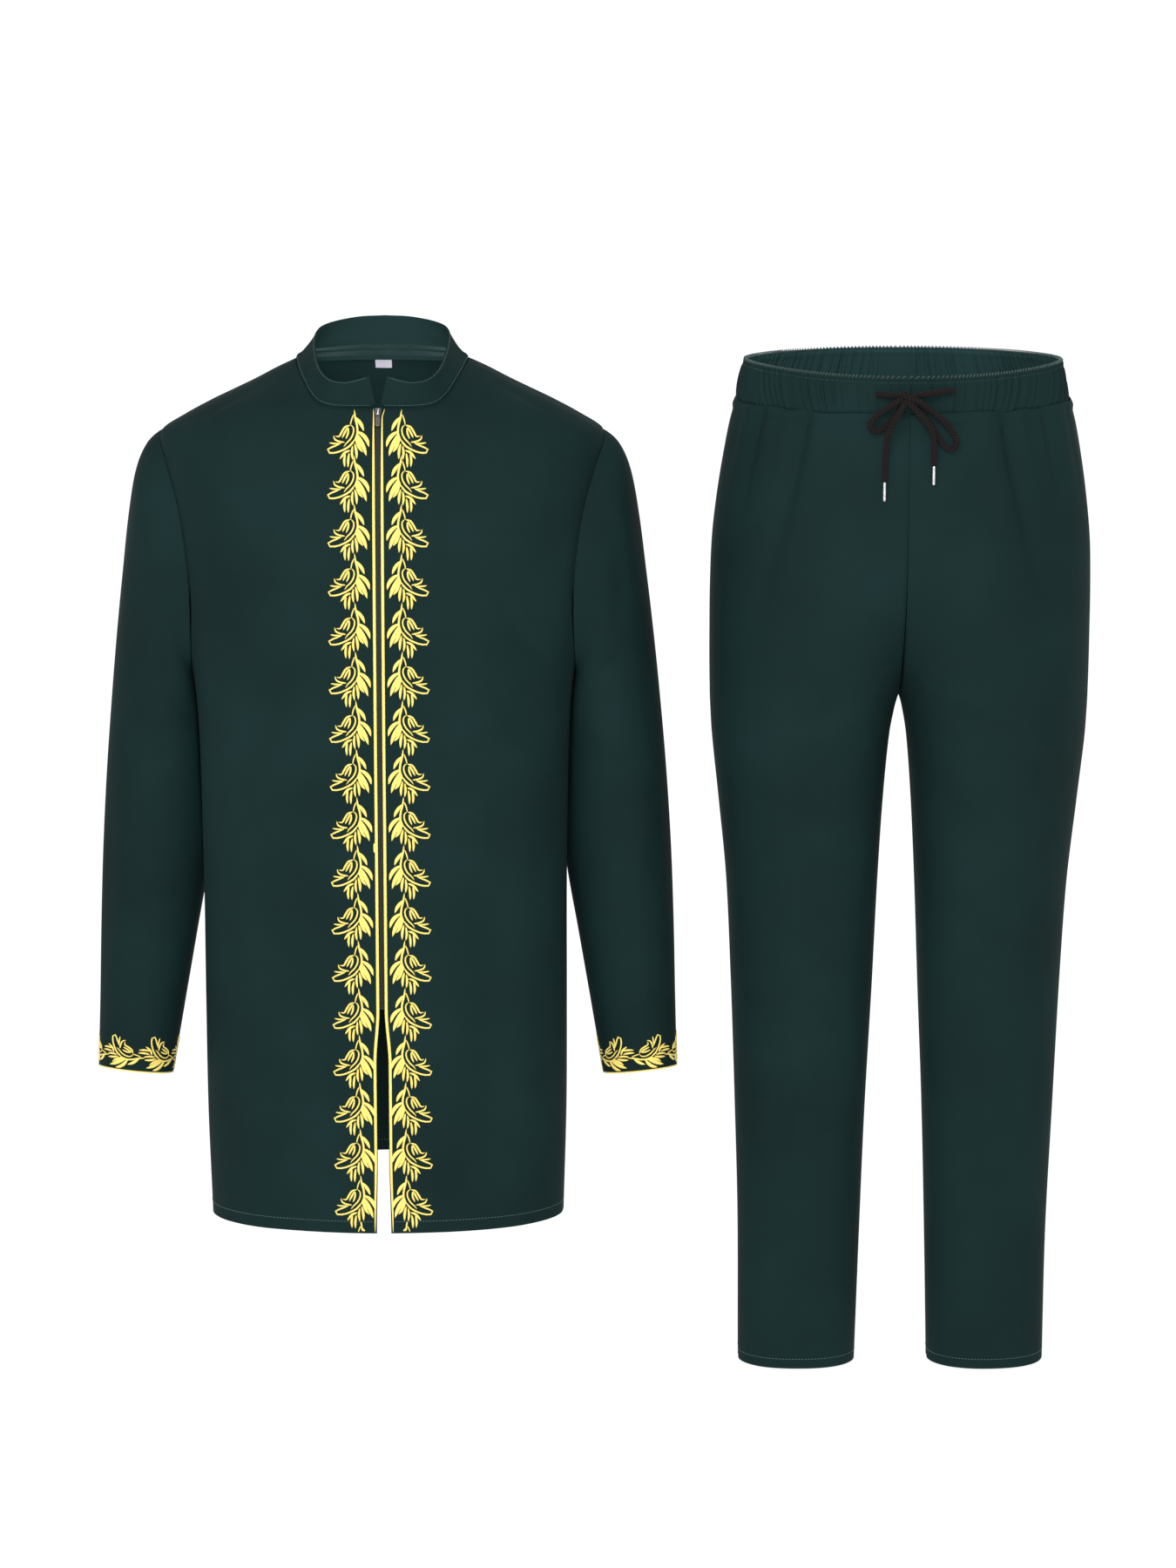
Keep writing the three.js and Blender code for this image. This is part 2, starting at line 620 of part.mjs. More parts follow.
const leg = columns(LEG, 'z', ['outer', 'inner', 'front', 'back', 'mid']);
const FRONT_STEPS = 15;
const BACK_STEPS = 12;

function legSection(z) {
  const [outer, inner] = [leg.outer(z), leg.inner(z)];
  return { centre: (outer + inner) / 2, half: (outer - inner) / 2 };
}

// Zero on the left leg's surface, less inside and more outside
function legField(x, y, z) {
  const { centre, half } = legSection(z);
  const ahead = y - leg.mid(z);
  const depth = ahead < 0 ? leg.front(z) : leg.back(z);
  return (Math.abs(x - centre) / half) ** ROUNDNESS + (Math.abs(ahead) / depth) ** ROUNDNESS - 1;
}

// A point of the left leg's surface by its turn from the side seam
function legPoint(z, turn, face) {
  const { centre, half } = legSection(z);
  const x = centre + half * power(Math.cos(turn), 2 / ROUNDNESS);
  const depth = face < 0 ? leg.front(z) : leg.back(z);
  return new THREE.Vector3(x, leg.mid(z) + face * depth * power(Math.sin(turn), 2 / ROUNDNESS), z);
}

// The turn at which a section reaches the centre seam, or half a turn below the crotch
function innerTurn(z) {
  const { centre, half } = legSection(z);
  const cut = centre - SEAM_GAP / 2;
  return cut >= half ? Math.PI : Math.acos(-((Math.max(cut, 0) / half) ** (ROUNDNESS / 2)));
}

const WAIST_SEAM = { front: -47.5, side: -41, back: -38 };
const WAIST_TOP = { front: -11.5, side: -1, back: 3 };
const WAIST_DIP_FALL = 120; // below the waist seam the legs' rows lose its dip over this height
const PLEATS_FADE_Z = -70; // the pleats keep their full depth down to here

// The height of a level line round the waist that dips in front; ahead is -1 in front and 1 behind
function waistZ(line, ahead) {
  return line.side + (ahead < 0 ? line.front - line.side : line.back - line.side) * ahead * ahead;
}

function pleatDepth(hand, face, turn, z) {
  return PLEATS.filter((pleat) => pleat.leg === hand && pleat.face === face).reduce((sum, pleat) => {
    const off = (turn - radians(pleat.turn)) / radians(pleat.width);
    const fade = 1 - THREE.MathUtils.smoothstep(-z, -PLEATS_FADE_Z, -PLEATS_FADE_Z + pleat.fall);
    return sum + pleat.depth * Math.exp(-off * off) * fade;
  }, 0);
}

function trouserPanel(hand, face) {
  const steps = face < 0 ? FRONT_STEPS : BACK_STEPS;
  const levels = LEG.slice(1).map(({ z }) => z);
  return clothWall(levels.length - 1, steps, (i, j) => {
    const level = levels[i];
    const fade = Math.max(0, 1 - (levels[0] - level) / WAIST_DIP_FALL) ** 2;
    const turn = innerTurn(level) * (j / steps);
    const ahead = face * Math.sin(Math.min(turn, Math.PI / 2));
    const z = level + (waistZ(WAIST_SEAM, ahead) - levels[0]) * fade;
    const point = legPoint(z, turn, face);
    if (j === steps && z > CROTCH_Z) point.x = SEAM_GAP / 2;
    const normal = fieldNormal(legField, point);
    point.addScaledVector(normal, -pleatDepth(hand, face, turn, z));
    point.y += (face * SEAM_GAP) / 2;
    point.x *= hand;
    normal.x *= hand;
    return { point, normal };
  });
}

// Waistband

const BAND_ROWS = 2;
const BAND = { seamHalf: 163.5, topHalf: 156, seamDepth: 97.5, topDepth: 94 };
const GATHER = { fullness: 1.9, edgeShare: 0.35, slant: 0.035, unevenness: 0.02 };

function bandPoint(angle, up) {
  const ahead = -Math.cos(angle);
  const half = mix(BAND.seamHalf, BAND.topHalf, up);
  const depth = mix(BAND.seamDepth, BAND.topDepth, up);
  const seam = waistZ(WAIST_SEAM, ahead) + 2 * SEAM_GAP;
  const top = waistZ(WAIST_TOP, ahead);
  return new THREE.Vector3(
    half * power(Math.sin(angle), 2 / ROUNDNESS), depth * power(ahead, 2 / ROUNDNESS), mix(seam, top, up),
  );
}

function waistband() {
  const steps = 4 * GATHERS;
  return clothWall(BAND_ROWS, steps, (i, j) => {
    const up = i / BAND_ROWS;
    const plain = (2 * Math.PI * j) / steps;
    const angle = plain + GATHER.unevenness * Math.sin(7 * plain) + GATHER.slant * up * Math.sin(plain);
    const point = bandPoint(angle, up);
    const h = 0.01;
    const round = bandPoint(angle + h, up).sub(bandPoint(angle - h, up));
    const rise = bandPoint(angle, 1).sub(bandPoint(angle, 0));
    const normal = round.cross(rise).normalize();
    if (normal.x * point.x + normal.y * point.y < 0) normal.negate();
    const swell = 0.75 + 0.25 * Math.sin(11 * plain + 1);
    const edge = i === 1 ? 1 : GATHER.edgeShare;
    const fold = GATHER.fullness * swell * edge * (0.5 + 0.5 * Math.cos((Math.PI / 2) * j));
    point.addScaledVector(normal, -1 + fold);
    return { point, normal };
  }, { closed: true });
}

// Drawstring

const CORD_SIDES = 8;

function cordTube(route) {
  const path = new THREE.CatmullRomCurve3(route.map(([x, y, z]) => new THREE.Vector3(x, y, z)));
  const section = new THREE.Shape();
  section.absarc(0, 0, CORD_RADIUS, 0, 2 * Math.PI);
  const steps = Math.max(4, Math.round(path.getLength() / 8));
  return new THREE.ExtrudeGeometry(section, {
    steps, curveSegments: CORD_SIDES, extrudePath: path, bevelEnabled: false,
  });
}

function cordKnot() {
  const { x, y, z, halfWidth, halfDepth, halfHeight } = BOW.knot;
  return new THREE.SphereGeometry(1, 14, 9).scale(halfWidth, halfDepth, halfHeight).translate(x, y, z);
}

// A metal tip pushed onto the end of a tail, in line with it
function agletOn(route) {
  const [x, y, z] = route[route.length - 1];
  const { radius, length } = AGLET;
  const geometry = new THREE.CylinderGeometry(radius, radius * 0.92, length, 12);
  return geometry.rotateX(Math.PI / 2).translate(x, y, z - SEAM_GAP - length / 2);
}

// Materials and the scene graph

const cloth = new THREE.MeshStandardMaterial({ color: 0x1f3534, roughness: 0.75, metalness: 0 });
const tape = new THREE.MeshStandardMaterial({ color: 0x16201f, roughness: 0.85, metalness: 0 });
const cordCloth = new THREE.MeshStandardMaterial({ color: 0x1c1616, roughness: 0.9, metalness: 0 });
const labelCloth = new THREE.MeshStandardMaterial({ color: 0xb9b4c4, roughness: 0.8, metalness: 0 });
const metal = new THREE.MeshStandardMaterial({ color: 0xc8cacc, roughness: 0.25, metalness: 1 });

function piece(group, name, geometry, material) {
  const mesh = new THREE.Mesh(geometry, material);
  mesh.name = name;
  group.add(mesh);
  return mesh;
}

const suit = new THREE.Group();

const kurta = new THREE.Group();
suit.add(kurta);
const HANDS = [['left', 1], ['right', -1]];
for (const [word, hand] of HANDS) {
  piece(kurta, `front_${word}`, frontPanel(hand), cloth);
  piece(kurta, `sleeve_${word}`, sleevePiece(hand), cloth);
  const [from, to] = [hand * TAPE.inner, hand * TAPE.outer];
  piece(kurta, `zip_tape_${word}`, zipStrip(from, to, TAPE_DEPTH, TAPE.thickness), tape);
}
piece(kurta, 'back', backPanel(), cloth);
piece(kurta, 'collar', collar(), cloth);
piece(kurta, 'size_label', sizeLabel(), labelCloth);
piece(kurta, 'zip_chain', zipStrip(-CHAIN_HALF, CHAIN_HALF, CHAIN_DEPTH, CHAIN_THICKNESS), tape);

// The slider lies on the chain near its top, tipped with the chest
const sliderSeat = torsoPoint(0, SLIDER_Z, -1);
const sliderMount = new THREE.Group();
sliderMount.position.copy(sliderSeat);
const chestNormal = torsoNormal(sliderSeat);
sliderMount.rotation.x = -Math.atan2(chestNormal.z, -chestNormal.y);
kurta.add(sliderMount);
const SLIDER_SEAT = 0.35; // the slider stands just off the chain and the front edges
const slider = piece(sliderMount, 'zip_slider', zipSlider(), metal);
slider.position.set(0, -SLIDER_SEAT, 0);
const tab = piece(sliderMount, 'zip_tab', zipTab(), metal);
tab.position.set(0, -SLIDER_SEAT - (SLIDER.depth + SLIDER.bridge) / 2, 0.2);

const trousers = new THREE.Group();
trousers.position.x = TROUSERS_X;
suit.add(trousers);
for (const [word, hand] of HANDS) {
  piece(trousers, `trouser_front_${word}`, trouserPanel(hand, -1), cloth);
  piece(trousers, `trouser_back_${word}`, trouserPanel(hand, 1), cloth);
  for (const strand of ['lead', 'loop', 'tail']) {
    piece(trousers, `cord_${strand}_${word}`, cordTube(BOW[`${strand}_${word}`]), cordCloth);
  }
  piece(trousers, `aglet_${word}`, agletOn(BOW[`tail_${word}`]), metal);
}
piece(trousers, 'waistband', waistband(), cloth);
piece(trousers, 'cord_knot', cordKnot(), cordCloth);

export default suit;
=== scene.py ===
"""The looks of a kurta suit: a long tunic with a stand collar, a front zip and gold embroidery, beside its
pull-on trousers with a gathered waist and a tied drawstring.

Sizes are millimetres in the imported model's own frame, and become metres when a mesh is made. The front faces
-Y, and left and right are the wearer's, so left is +X.
"""

import logging
import math
from collections.abc import Callable, Sequence
from dataclasses import dataclass, field
from enum import Enum

import bpy
import numpy as np
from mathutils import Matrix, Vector


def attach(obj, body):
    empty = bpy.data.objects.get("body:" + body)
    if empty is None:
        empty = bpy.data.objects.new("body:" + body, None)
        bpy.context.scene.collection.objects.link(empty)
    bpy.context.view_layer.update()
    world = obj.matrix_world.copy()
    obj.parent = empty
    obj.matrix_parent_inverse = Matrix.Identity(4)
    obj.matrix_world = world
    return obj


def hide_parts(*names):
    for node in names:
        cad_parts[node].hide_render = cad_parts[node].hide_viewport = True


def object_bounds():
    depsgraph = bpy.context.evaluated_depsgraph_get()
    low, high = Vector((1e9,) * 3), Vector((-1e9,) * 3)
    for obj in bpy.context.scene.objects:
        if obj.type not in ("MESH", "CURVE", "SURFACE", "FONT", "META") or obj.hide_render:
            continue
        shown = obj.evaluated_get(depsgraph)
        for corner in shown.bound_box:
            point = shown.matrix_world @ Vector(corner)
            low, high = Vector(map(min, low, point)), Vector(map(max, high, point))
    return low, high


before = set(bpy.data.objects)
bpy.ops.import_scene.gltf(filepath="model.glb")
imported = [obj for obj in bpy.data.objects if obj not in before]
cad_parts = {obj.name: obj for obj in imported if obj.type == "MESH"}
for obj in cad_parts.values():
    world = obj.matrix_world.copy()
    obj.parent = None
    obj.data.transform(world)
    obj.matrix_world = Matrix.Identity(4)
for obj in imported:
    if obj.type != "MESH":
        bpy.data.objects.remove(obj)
cad_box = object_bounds()

LOG = logging.getLogger("kurta_suit")

Array = np.ndarray
Colour = tuple[float, float, float]
Place = tuple[float, float, float]

GARMENTS = "garments"
MM = 0.001
CLOTH = 2.0
SEAM_GAP = 0.3
ROUNDNESS = 2.25
NECK_HALF = 86.0
SHOULDER_HALF = 218.0
UNDERARM_Z = -305.0
HEM_Z = -857.0
BACK_HEM_RISE = 25.0
ZIP_TOP_Z = -42.0
ZIP_END_Z = -629.0
ZIP_HALF_CHANNEL = 2.3
TROUSERS_X = 511.0
CORD_RADIUS = 2.9


class Slot(Enum):
    """The record's material slots."""

    CLOTH = "cloth"
    THREAD = "thread"
    TAPE = "tape"
    CORD = "cord"
    LABEL = "label"
    METAL = "metal"


class Hand(Enum):
    """A side of the wearer, with the sign of its X."""

    LEFT = 1
    RIGHT = -1

    @property
    def word(self) -> str:
        """The word that node names end in."""
        return self.name.lower()


class Face(Enum):
    """The front or the back of a garment, with the sign of its Y."""

    FRONT = -1
    BACK = 1

    @property
    def word(self) -> str:
        """The word that node names hold."""
        return self.name.lower()


# Small mathematics


def mix(a: Array | float, b: Array | float, t: Array | float) -> Array | float:
    """Goes from a to b as t goes from 0 to 1."""
    return a + (b - a) * t


def smooth_step(value: Array | float, low: float, high: float) -> Array | float:
    """Rises from 0 at low to 1 at high, level at both ends."""
    t = np.clip((value - low) / (high - low), 0.0, 1.0)
    return t * t * (3.0 - 2.0 * t)


def power(value: Array, exponent: float) -> Array:
    """Raises the size of a value to a power and keeps its sign."""
    return np.sign(value) * np.abs(value) ** exponent


def unit(vectors: Array) -> Array:
    """Scales vectors to length 1."""
    return vectors / np.maximum(np.linalg.norm(vectors, axis=-1, keepdims=True), 1e-9)


def lengths_along(line: Array) -> Array:
    """The distance along a line of points at each of them."""
    steps = np.linalg.norm(np.diff(line, axis=0), axis=1)
    return np.concatenate([[0.0], np.cumsum(steps)])


def resample(line: Array, samples: int) -> Array:
    """Evenly spaced points along a line of points.

    Args:
        line: The points, one a row.
        samples: How many points to return.

    Returns:
        The new points, one a row.
    """
    along = lengths_along(line)
    at = np.linspace(0.0, along[-1], samples)
    return np.stack([np.interp(at, along, line[:, k]) for k in range(line.shape[1])], axis=1)


def curve_through(points: Sequence[Sequence[float]], samples: int) -> Array:
    """Evenly spaced points on a smooth curve through a few given ones.

    Args:
        points: The points that the curve passes through.
        samples: How many points to return.

    Returns:
        The curve's points, one a row.
    """
    given = np.asarray(points, dtype=float)
    ends = np.vstack([2 * given[0] - given[1], given, 2 * given[-1] - given[-2]])
    t = np.linspace(0.0, 1.0, 24, endpoint=False)[:, None]
    spans = []
    for a, b, c, d in zip(ends, ends[1:], ends[2:], ends[3:]):
        before, here, after = (math.sqrt(np.linalg.norm(q - p)) for p, q in ((a, b), (b, c), (c, d)))
        slope_b = ((b - a) / before - (c - a) / (before + here) + (c - b) / here) * here
        slope_c = ((c - b) / here - (d - b) / (here + after) + (d - c) / after) * here
        rise = t * t * (3 - 2 * t)
        bend = slope_b * (t**3 - 2 * t**2 + t) + slope_c * (t**3 - t**2)
        spans.append(b + (c - b) * rise + bend)
    spans.append(given[-1:])
    return resample(np.vstack(spans), samples)


class Table:
    """A short table that is read smoothly along its first column."""

    def __init__(self, names: str, rows: Sequence[Sequence[float]]) -> None:
        """Sorts the rows by their first column.

        Args:
            names: The names of the columns, parted by spaces.
            rows: The rows, each with a number for each name.
        """
        self.names = names.split()
        self.data = np.array(sorted(rows), dtype=float)
        self.key = self.data[:, 0]

    def read(self, name: str, at: Array | float) -> Array:
        """Reads a column at any values of the key.

        Args:
            name: The column's name.
            at: The values of the key.

        Returns:
            The column's values there.
        """
        key = self.key
        value = self.data[:, self.names.index(name)]
        slope = np.gradient(value, key)
        slope[1:-1] = (value[2:] - value[:-2]) / (key[2:] - key[:-2])
        x = np.clip(at, key[0], key[-1])
        i = np.clip(np.searchsorted(key, x) - 1, 0, len(key) - 2)
        span = key[i + 1] - key[i]
        t = (x - key[i]) / span
        rise = (value[i + 1] - value[i]) * t * t * (3 - 2 * t)
        return value[i] + rise + span * t * (1 - t) * (slope[i] * (1 - t) - slope[i + 1] * t)


def field_normal(inside: Callable[[Array], Array], points: Array) -> Array:
    """The outward normals of a closed form given by a field that grows outwards.

    Args:
        inside: The field, read at an array of points.
        points: Points on the form.

    Returns:
        A unit normal for each point.
    """
    step = 0.4
    slopes = [inside(points + offset) - inside(points - offset) for offset in np.eye(3) * step]
    return unit(np.stack(slopes, axis=-1))


def grid_normal(points: Array, closed: bool) -> Array:
    """The normals of a grid of points, from its neighbours.

    Args:
        points: Rows and columns of points.
        closed: True if the last column joins the first.

    Returns:
        A unit normal for each point, turned away from the grid's own middle line where it is closed.
    """
    down = np.gradient(points, axis=0)
    if closed:
        across = np.roll(points, -1, axis=1) - np.roll(points, 1, axis=1)
    else:
        across = np.gradient(points, axis=1)
    normal = unit(np.cross(across, down))
    if closed:
        outward = points - points.mean(axis=1, keepdims=True)
        if np.sum(normal * outward) < 0:
            normal = -normal
    return normal


@dataclass(frozen=True)
class Crease:
    """A soft ridge or trough, placed in a cloth piece's own two coordinates.

    It runs from (u0, w0) to (u1, w1) and swings aside by bow at its middle. It is a ridge where height is
    above 0.
    """

    u0: float
    w0: float
    u1: float
    w1: float
    bow: float
    height: float
    width: float

    def lift(self, u: Array, w: Array) -> Array:
        """How far the crease moves the cloth outwards.

        Args:
            u: The first coordinate of each point.
            w: The second coordinate of each point.

        Returns:
            The outward move of each point.
        """
        run_u, run_w = self.u1 - self.u0, self.w1 - self.w0
        length = math.hypot(run_u, run_w)
        t = ((u - self.u0) * run_u + (w - self.w0) * run_w) / length**2
        near = np.clip(t, -0.2, 1.2)
        off = ((w - self.w0) * run_u - (u - self.u0) * run_w) / length - 4 * self.bow * near * (1 - near)
        taper = smooth_step(t, -0.15, 0.35) * (1 - smooth_step(t, 0.6, 1.15))
        return self.height * taper * np.exp(-((off / self.width) ** 2))


def relief(creases: Sequence[Crease], u: Array, w: Array) -> Array:
    """The sum of a piece's creases and of the slow swell of cloth that hangs.

    Args:
        creases: The piece's creases.
        u: The first coordinate of each point.
        w: The second coordinate of each point.

    Returns:
        The outward move of each point.
    """
    swell = 0.45 * np.sin(u / 31.0 + w / 170.0) + 0.35 * np.sin(u / 19.0 - w / 120.0 + 1.7)
    swell = swell + 0.3 * np.sin(w / 58.0 + u / 80.0 + 0.6)
    return swell + sum((crease.lift(u, w) for crease in creases), np.zeros_like(swell))


# Meshes


@dataclass
class MeshParts:
    """Vertices, faces and texture places that grow into one mesh."""

    vertices: list[Array] = field(default_factory=list)
    faces: list[tuple[int, ...]] = field(default_factory=list)
    places: list[tuple[float, float]] = field(default_factory=list)
    count: int = 0

    def grid(self, points: Array, uv: Array, closed: bool, caps: bool = False) -> None:
        """Adds a grid of four-sided faces.

        Args:
            points: Rows and columns of points.
            uv: Texture places in millimetres, with one column more than the points where closed.
            closed: True if the last column joins the first.
            caps: True to close the first and the last ring with a face.
        """
        rows, wide = points.shape[:2]
        index = np.arange(rows * wide).reshape(rows, wide) + self.count
        right = np.roll(index, -1, axis=1) if closed else index[:, 1:]
        left = index if closed else index[:, :-1]
        quads = np.stack([left[:-1], right[:-1], right[1:], left[1:]], axis=-1).reshape(-1, 4)
        corners = np.stack([uv[:-1, :-1], uv[:-1, 1:], uv[1:, 1:], uv[1:, :-1]], axis=2).reshape(-1, 2)
        self.faces.extend(map(tuple, quads.tolist()))
        self.places.extend(map(tuple, corners.tolist()))
        if caps:
            for ring, place in ((index[0][::-1], uv[0, 0]), (index[-1], uv[-1, 0])):
                self.faces.append(tuple(ring.tolist()))
                self.places.extend([tuple(place.tolist())] * wide)
        self.vertices.append(points.reshape(-1, 3))
        self.count += rows * wide

    def shell(self, outer: Array, normals: Array, thickness: float, closed: bool) -> None:
        """Adds a closed wall of cloth from its outer points.

        Args:
            outer: Rows and columns of outer points.
            normals: The outward normal of each.
            thickness: The wall's thickness.
            closed: True if the last column joins the first.
        """
        inner = outer - thickness * normals
        rows, wide = outer.shape[:2]
        start = self.count
        index = np.arange(rows * wide).reshape(rows, wide) + start
        right = np.roll(index, -1, axis=1) if closed else index[:, 1:]
        left = index if closed else index[:, :-1]
        under = rows * wide
        front = np.stack([left[:-1], right[:-1], right[1:], left[1:]], axis=-1).reshape(-1, 4)
        rims = [(left[0], right[0]), (right[-1], left[-1])]
        if not closed:
            rims += [(index[1:, 0], index[:-1, 0]), (index[:-1, -1], index[1:, -1])]
        edge = [np.stack([b, a, a + under, b + under], axis=-1) for a, b in rims]
        faces = np.concatenate([front, front[:, ::-1] + under, *edge])
        u, w = lengths_along(outer[rows // 2]), lengths_along(outer[:, wide // 2])
        place = np.tile(np.stack(np.meshgrid(u, w), axis=-1).reshape(-1, 2), (2, 1))
        self.vertices.append(np.concatenate([outer.reshape(-1, 3), inner.reshape(-1, 3)]))
        self.faces.extend(map(tuple, faces.tolist()))
        self.places.extend(map(tuple, place[(faces - start).reshape(-1)].tolist()))
        self.count += 2 * under

    def tube(self, path: Array, radius: Array | float, sides: int, hint: Array, closed: bool = False) -> None:
        """Adds a round tube along a path.

        Args:
            path: The points along its middle.
            radius: Its radius, or one for each point.
            sides: How many sides it has.
            hint: A direction that the path never follows, or one for each point.
            closed: True if the path's end meets its start, which leaves the tube without caps.
        """
        tangent = unit(np.gradient(path, axis=0))
        side = unit(np.cross(tangent, np.broadcast_to(hint, path.shape)))
        rise = np.cross(side, tangent)
        turn = np.linspace(0.0, 2 * math.pi, sides, endpoint=False)
        reach = np.broadcast_to(radius, (len(path),))[:, None, None]
        ring = np.cos(turn)[None, :, None] * side[:, None] + np.sin(turn)[None, :, None] * rise[:, None]
        along = lengths_along(path)
        uv = np.stack(np.meshgrid(np.linspace(0.0, 1.0, sides + 1), along), axis=-1)[..., ::-1]
        self.grid(path[:, None] + reach * ring, uv, closed=True, caps=not closed)

    def make(
        self, name: str, material: bpy.types.Material, replaced: Sequence[str] = (),
        sharp_degrees: float = 50.0,
    ) -> bpy.types.Object:
        """Makes a piece of the garments and the nodes that it stands for, and reports it.

        Args:
            name: The piece's name.
            material: Its material.
            replaced: The nodes that it stands for.
            sharp_degrees: Edges that turn more than this stay sharp.

        Returns:
            The new object, which is in the scene.
        """
        vertices = np.concatenate(self.vertices)
        mesh = bpy.data.meshes.new(name)
        mesh.from_pydata((vertices * MM).tolist(), [], self.faces)
        layer = mesh.uv_layers.new(name="UVMap")
        layer.data.foreach_set("uv", np.asarray(self.places, dtype=np.float32).ravel())
        if signed_volume(mesh) < 0:
            mesh.flip_normals()
        mesh.shade_smooth()
        mesh.set_sharp_from_angle(angle=math.radians(sharp_degrees))
        mesh.materials.append(material)
        obj = in_scene(name, mesh)
        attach(obj, GARMENTS)
        if replaced:
            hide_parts(*replaced)
        area = sum(polygon.area for polygon in mesh.polygons)
        LOG.info("%s: %d faces, %.4f square metres", name, len(mesh.polygons), area)
        return obj


def cloth_wall(
    name: str, outer: tuple[Array, Array], material: bpy.types.Material, node: str, thickness: float = CLOTH,
    closed: bool = False,
) -> bpy.types.Object:
    """Makes a cut piece of cloth as a closed wall.

    Args:
        name: The piece's name.
        outer: Its outer points and their normals.
        material: Its material.
        node: The node that it stands for.
        thickness: The wall's thickness.
        closed: True if it is sewn into a ring.

    Returns:
        The piece.
    """
    parts = MeshParts()
    parts.shell(*outer, thickness, closed)
    return parts.make(name, material, [node])


def in_scene(name: str, data: bpy.types.ID) -> bpy.types.Object:
    """Makes an object and links it to the scene."""
    obj = bpy.data.objects.new(name, data)
    bpy.context.scene.collection.objects.link(obj)
    return obj


def face_towards(obj: bpy.types.Object, at: Place, target: Place) -> None:
    """Places an object and turns its -Z axis towards a target."""
    obj.location = at
    obj.rotation_euler = (Vector(target) - Vector(at)).to_track_quat("-Z", "Y").to_euler()


def signed_volume(mesh: bpy.types.Mesh) -> float:
    """The volume that a mesh encloses, below 0 where its faces point inwards."""
    corners = np.empty(3 * len(mesh.vertices))
    mesh.vertices.foreach_get("co", corners)
    corners = corners.reshape(-1, 3)
    mesh.calc_loop_triangles()
    triangles = np.empty(3 * len(mesh.loop_triangles), dtype=np.int32)
    mesh.loop_triangles.foreach_get("vertices", triangles)
    a, b, c = (corners[triangles.reshape(-1, 3)[:, k]] for k in range(3))
    return float(np.sum(a * np.cross(b, c)) / 6.0)


# Finishes


class Shader:
    """A material whose nodes are added and linked one by one."""

    def __init__(self, name: str) -> None:
        """Makes a material with one principled shader.

        Args:
            name: The material's name.
        """
        self.material = bpy.data.materials.new(name)
        self.material.use_nodes = True
        self.tree = self.material.node_tree
        self.tree.nodes.clear()
        self.output = self.add("ShaderNodeOutputMaterial")
        self.surface = self.add("ShaderNodeBsdfPrincipled")
        self.link(self.surface, "BSDF", self.output, "Surface")

    def add(self, kind: str, settings: dict | None = None, inputs: dict | None = None) -> bpy.types.Node:
        """Adds a node.

        Args:
            kind: The node's type.
            settings: Its own properties.
            inputs: The values of its sockets.

        Returns:
            The new node.
        """
        node = self.tree.nodes.new(kind)
        for key, value in (settings or {}).items():
            setattr(node, key, value)
        for key, value in (inputs or {}).items():
            node.inputs[key].default_value = value
        return node

    def link(self, source: bpy.types.Node, out: str | int, target: bpy.types.Node, into: str | int) -> None:
        """Links a node's output to another node's input."""
        self.tree.links.new(source.outputs[out], target.inputs[into])

    def noise(self, place: bpy.types.Node, out: str, scale: float, detail: float) -> bpy.types.Node:
        """Adds a noise texture that is read at a place."""
        node = self.add("ShaderNodeTexNoise", inputs={"Scale": scale, "Detail": detail})
        self.link(place, out, node, "Vector")
        return node

    def ramp(self, source: bpy.types.Node, stops: Sequence[tuple[float, Colour]]) -> bpy.types.Node:
        """Adds a ramp that colours a factor."""
        node = self.add("ShaderNodeValToRGB")
        elements = node.color_ramp.elements
        while len(elements) < len(stops):
            elements.new(0.5)
        for element, (position, colour) in zip(elements, stops):
            element.position = position
            element.color = (*colour, 1.0)
        self.link(source, 0, node, "Fac")
        self.link(node, "Color", self.surface, "Base Color")
        return node

    def bump(self, sources: Sequence[tuple[bpy.types.Node, float, float]]) -> None:
        """Stacks bump layers on the surface.

        Args:
            sources: For each layer, the node whose first output is its height, its strength and its depth in
                metres.
        """
        previous = None
        for source, strength, depth in sources:
            node = self.add("ShaderNodeBump", inputs={"Strength": strength, "Distance": depth})
            self.link(source, 0, node, "Height")
            if previous:
                self.link(previous, "Normal", node, "Normal")
            previous = node
        if previous:
            self.link(previous, "Normal", self.surface, "Normal")

    def finish(self, values: dict[str, float | Sequence[float]]) -> bpy.types.Material:
        """Sets sockets of the surface and returns the finished material."""
        for socket, value in values.items():
            self.surface.inputs[socket].default_value = value
        return self.material


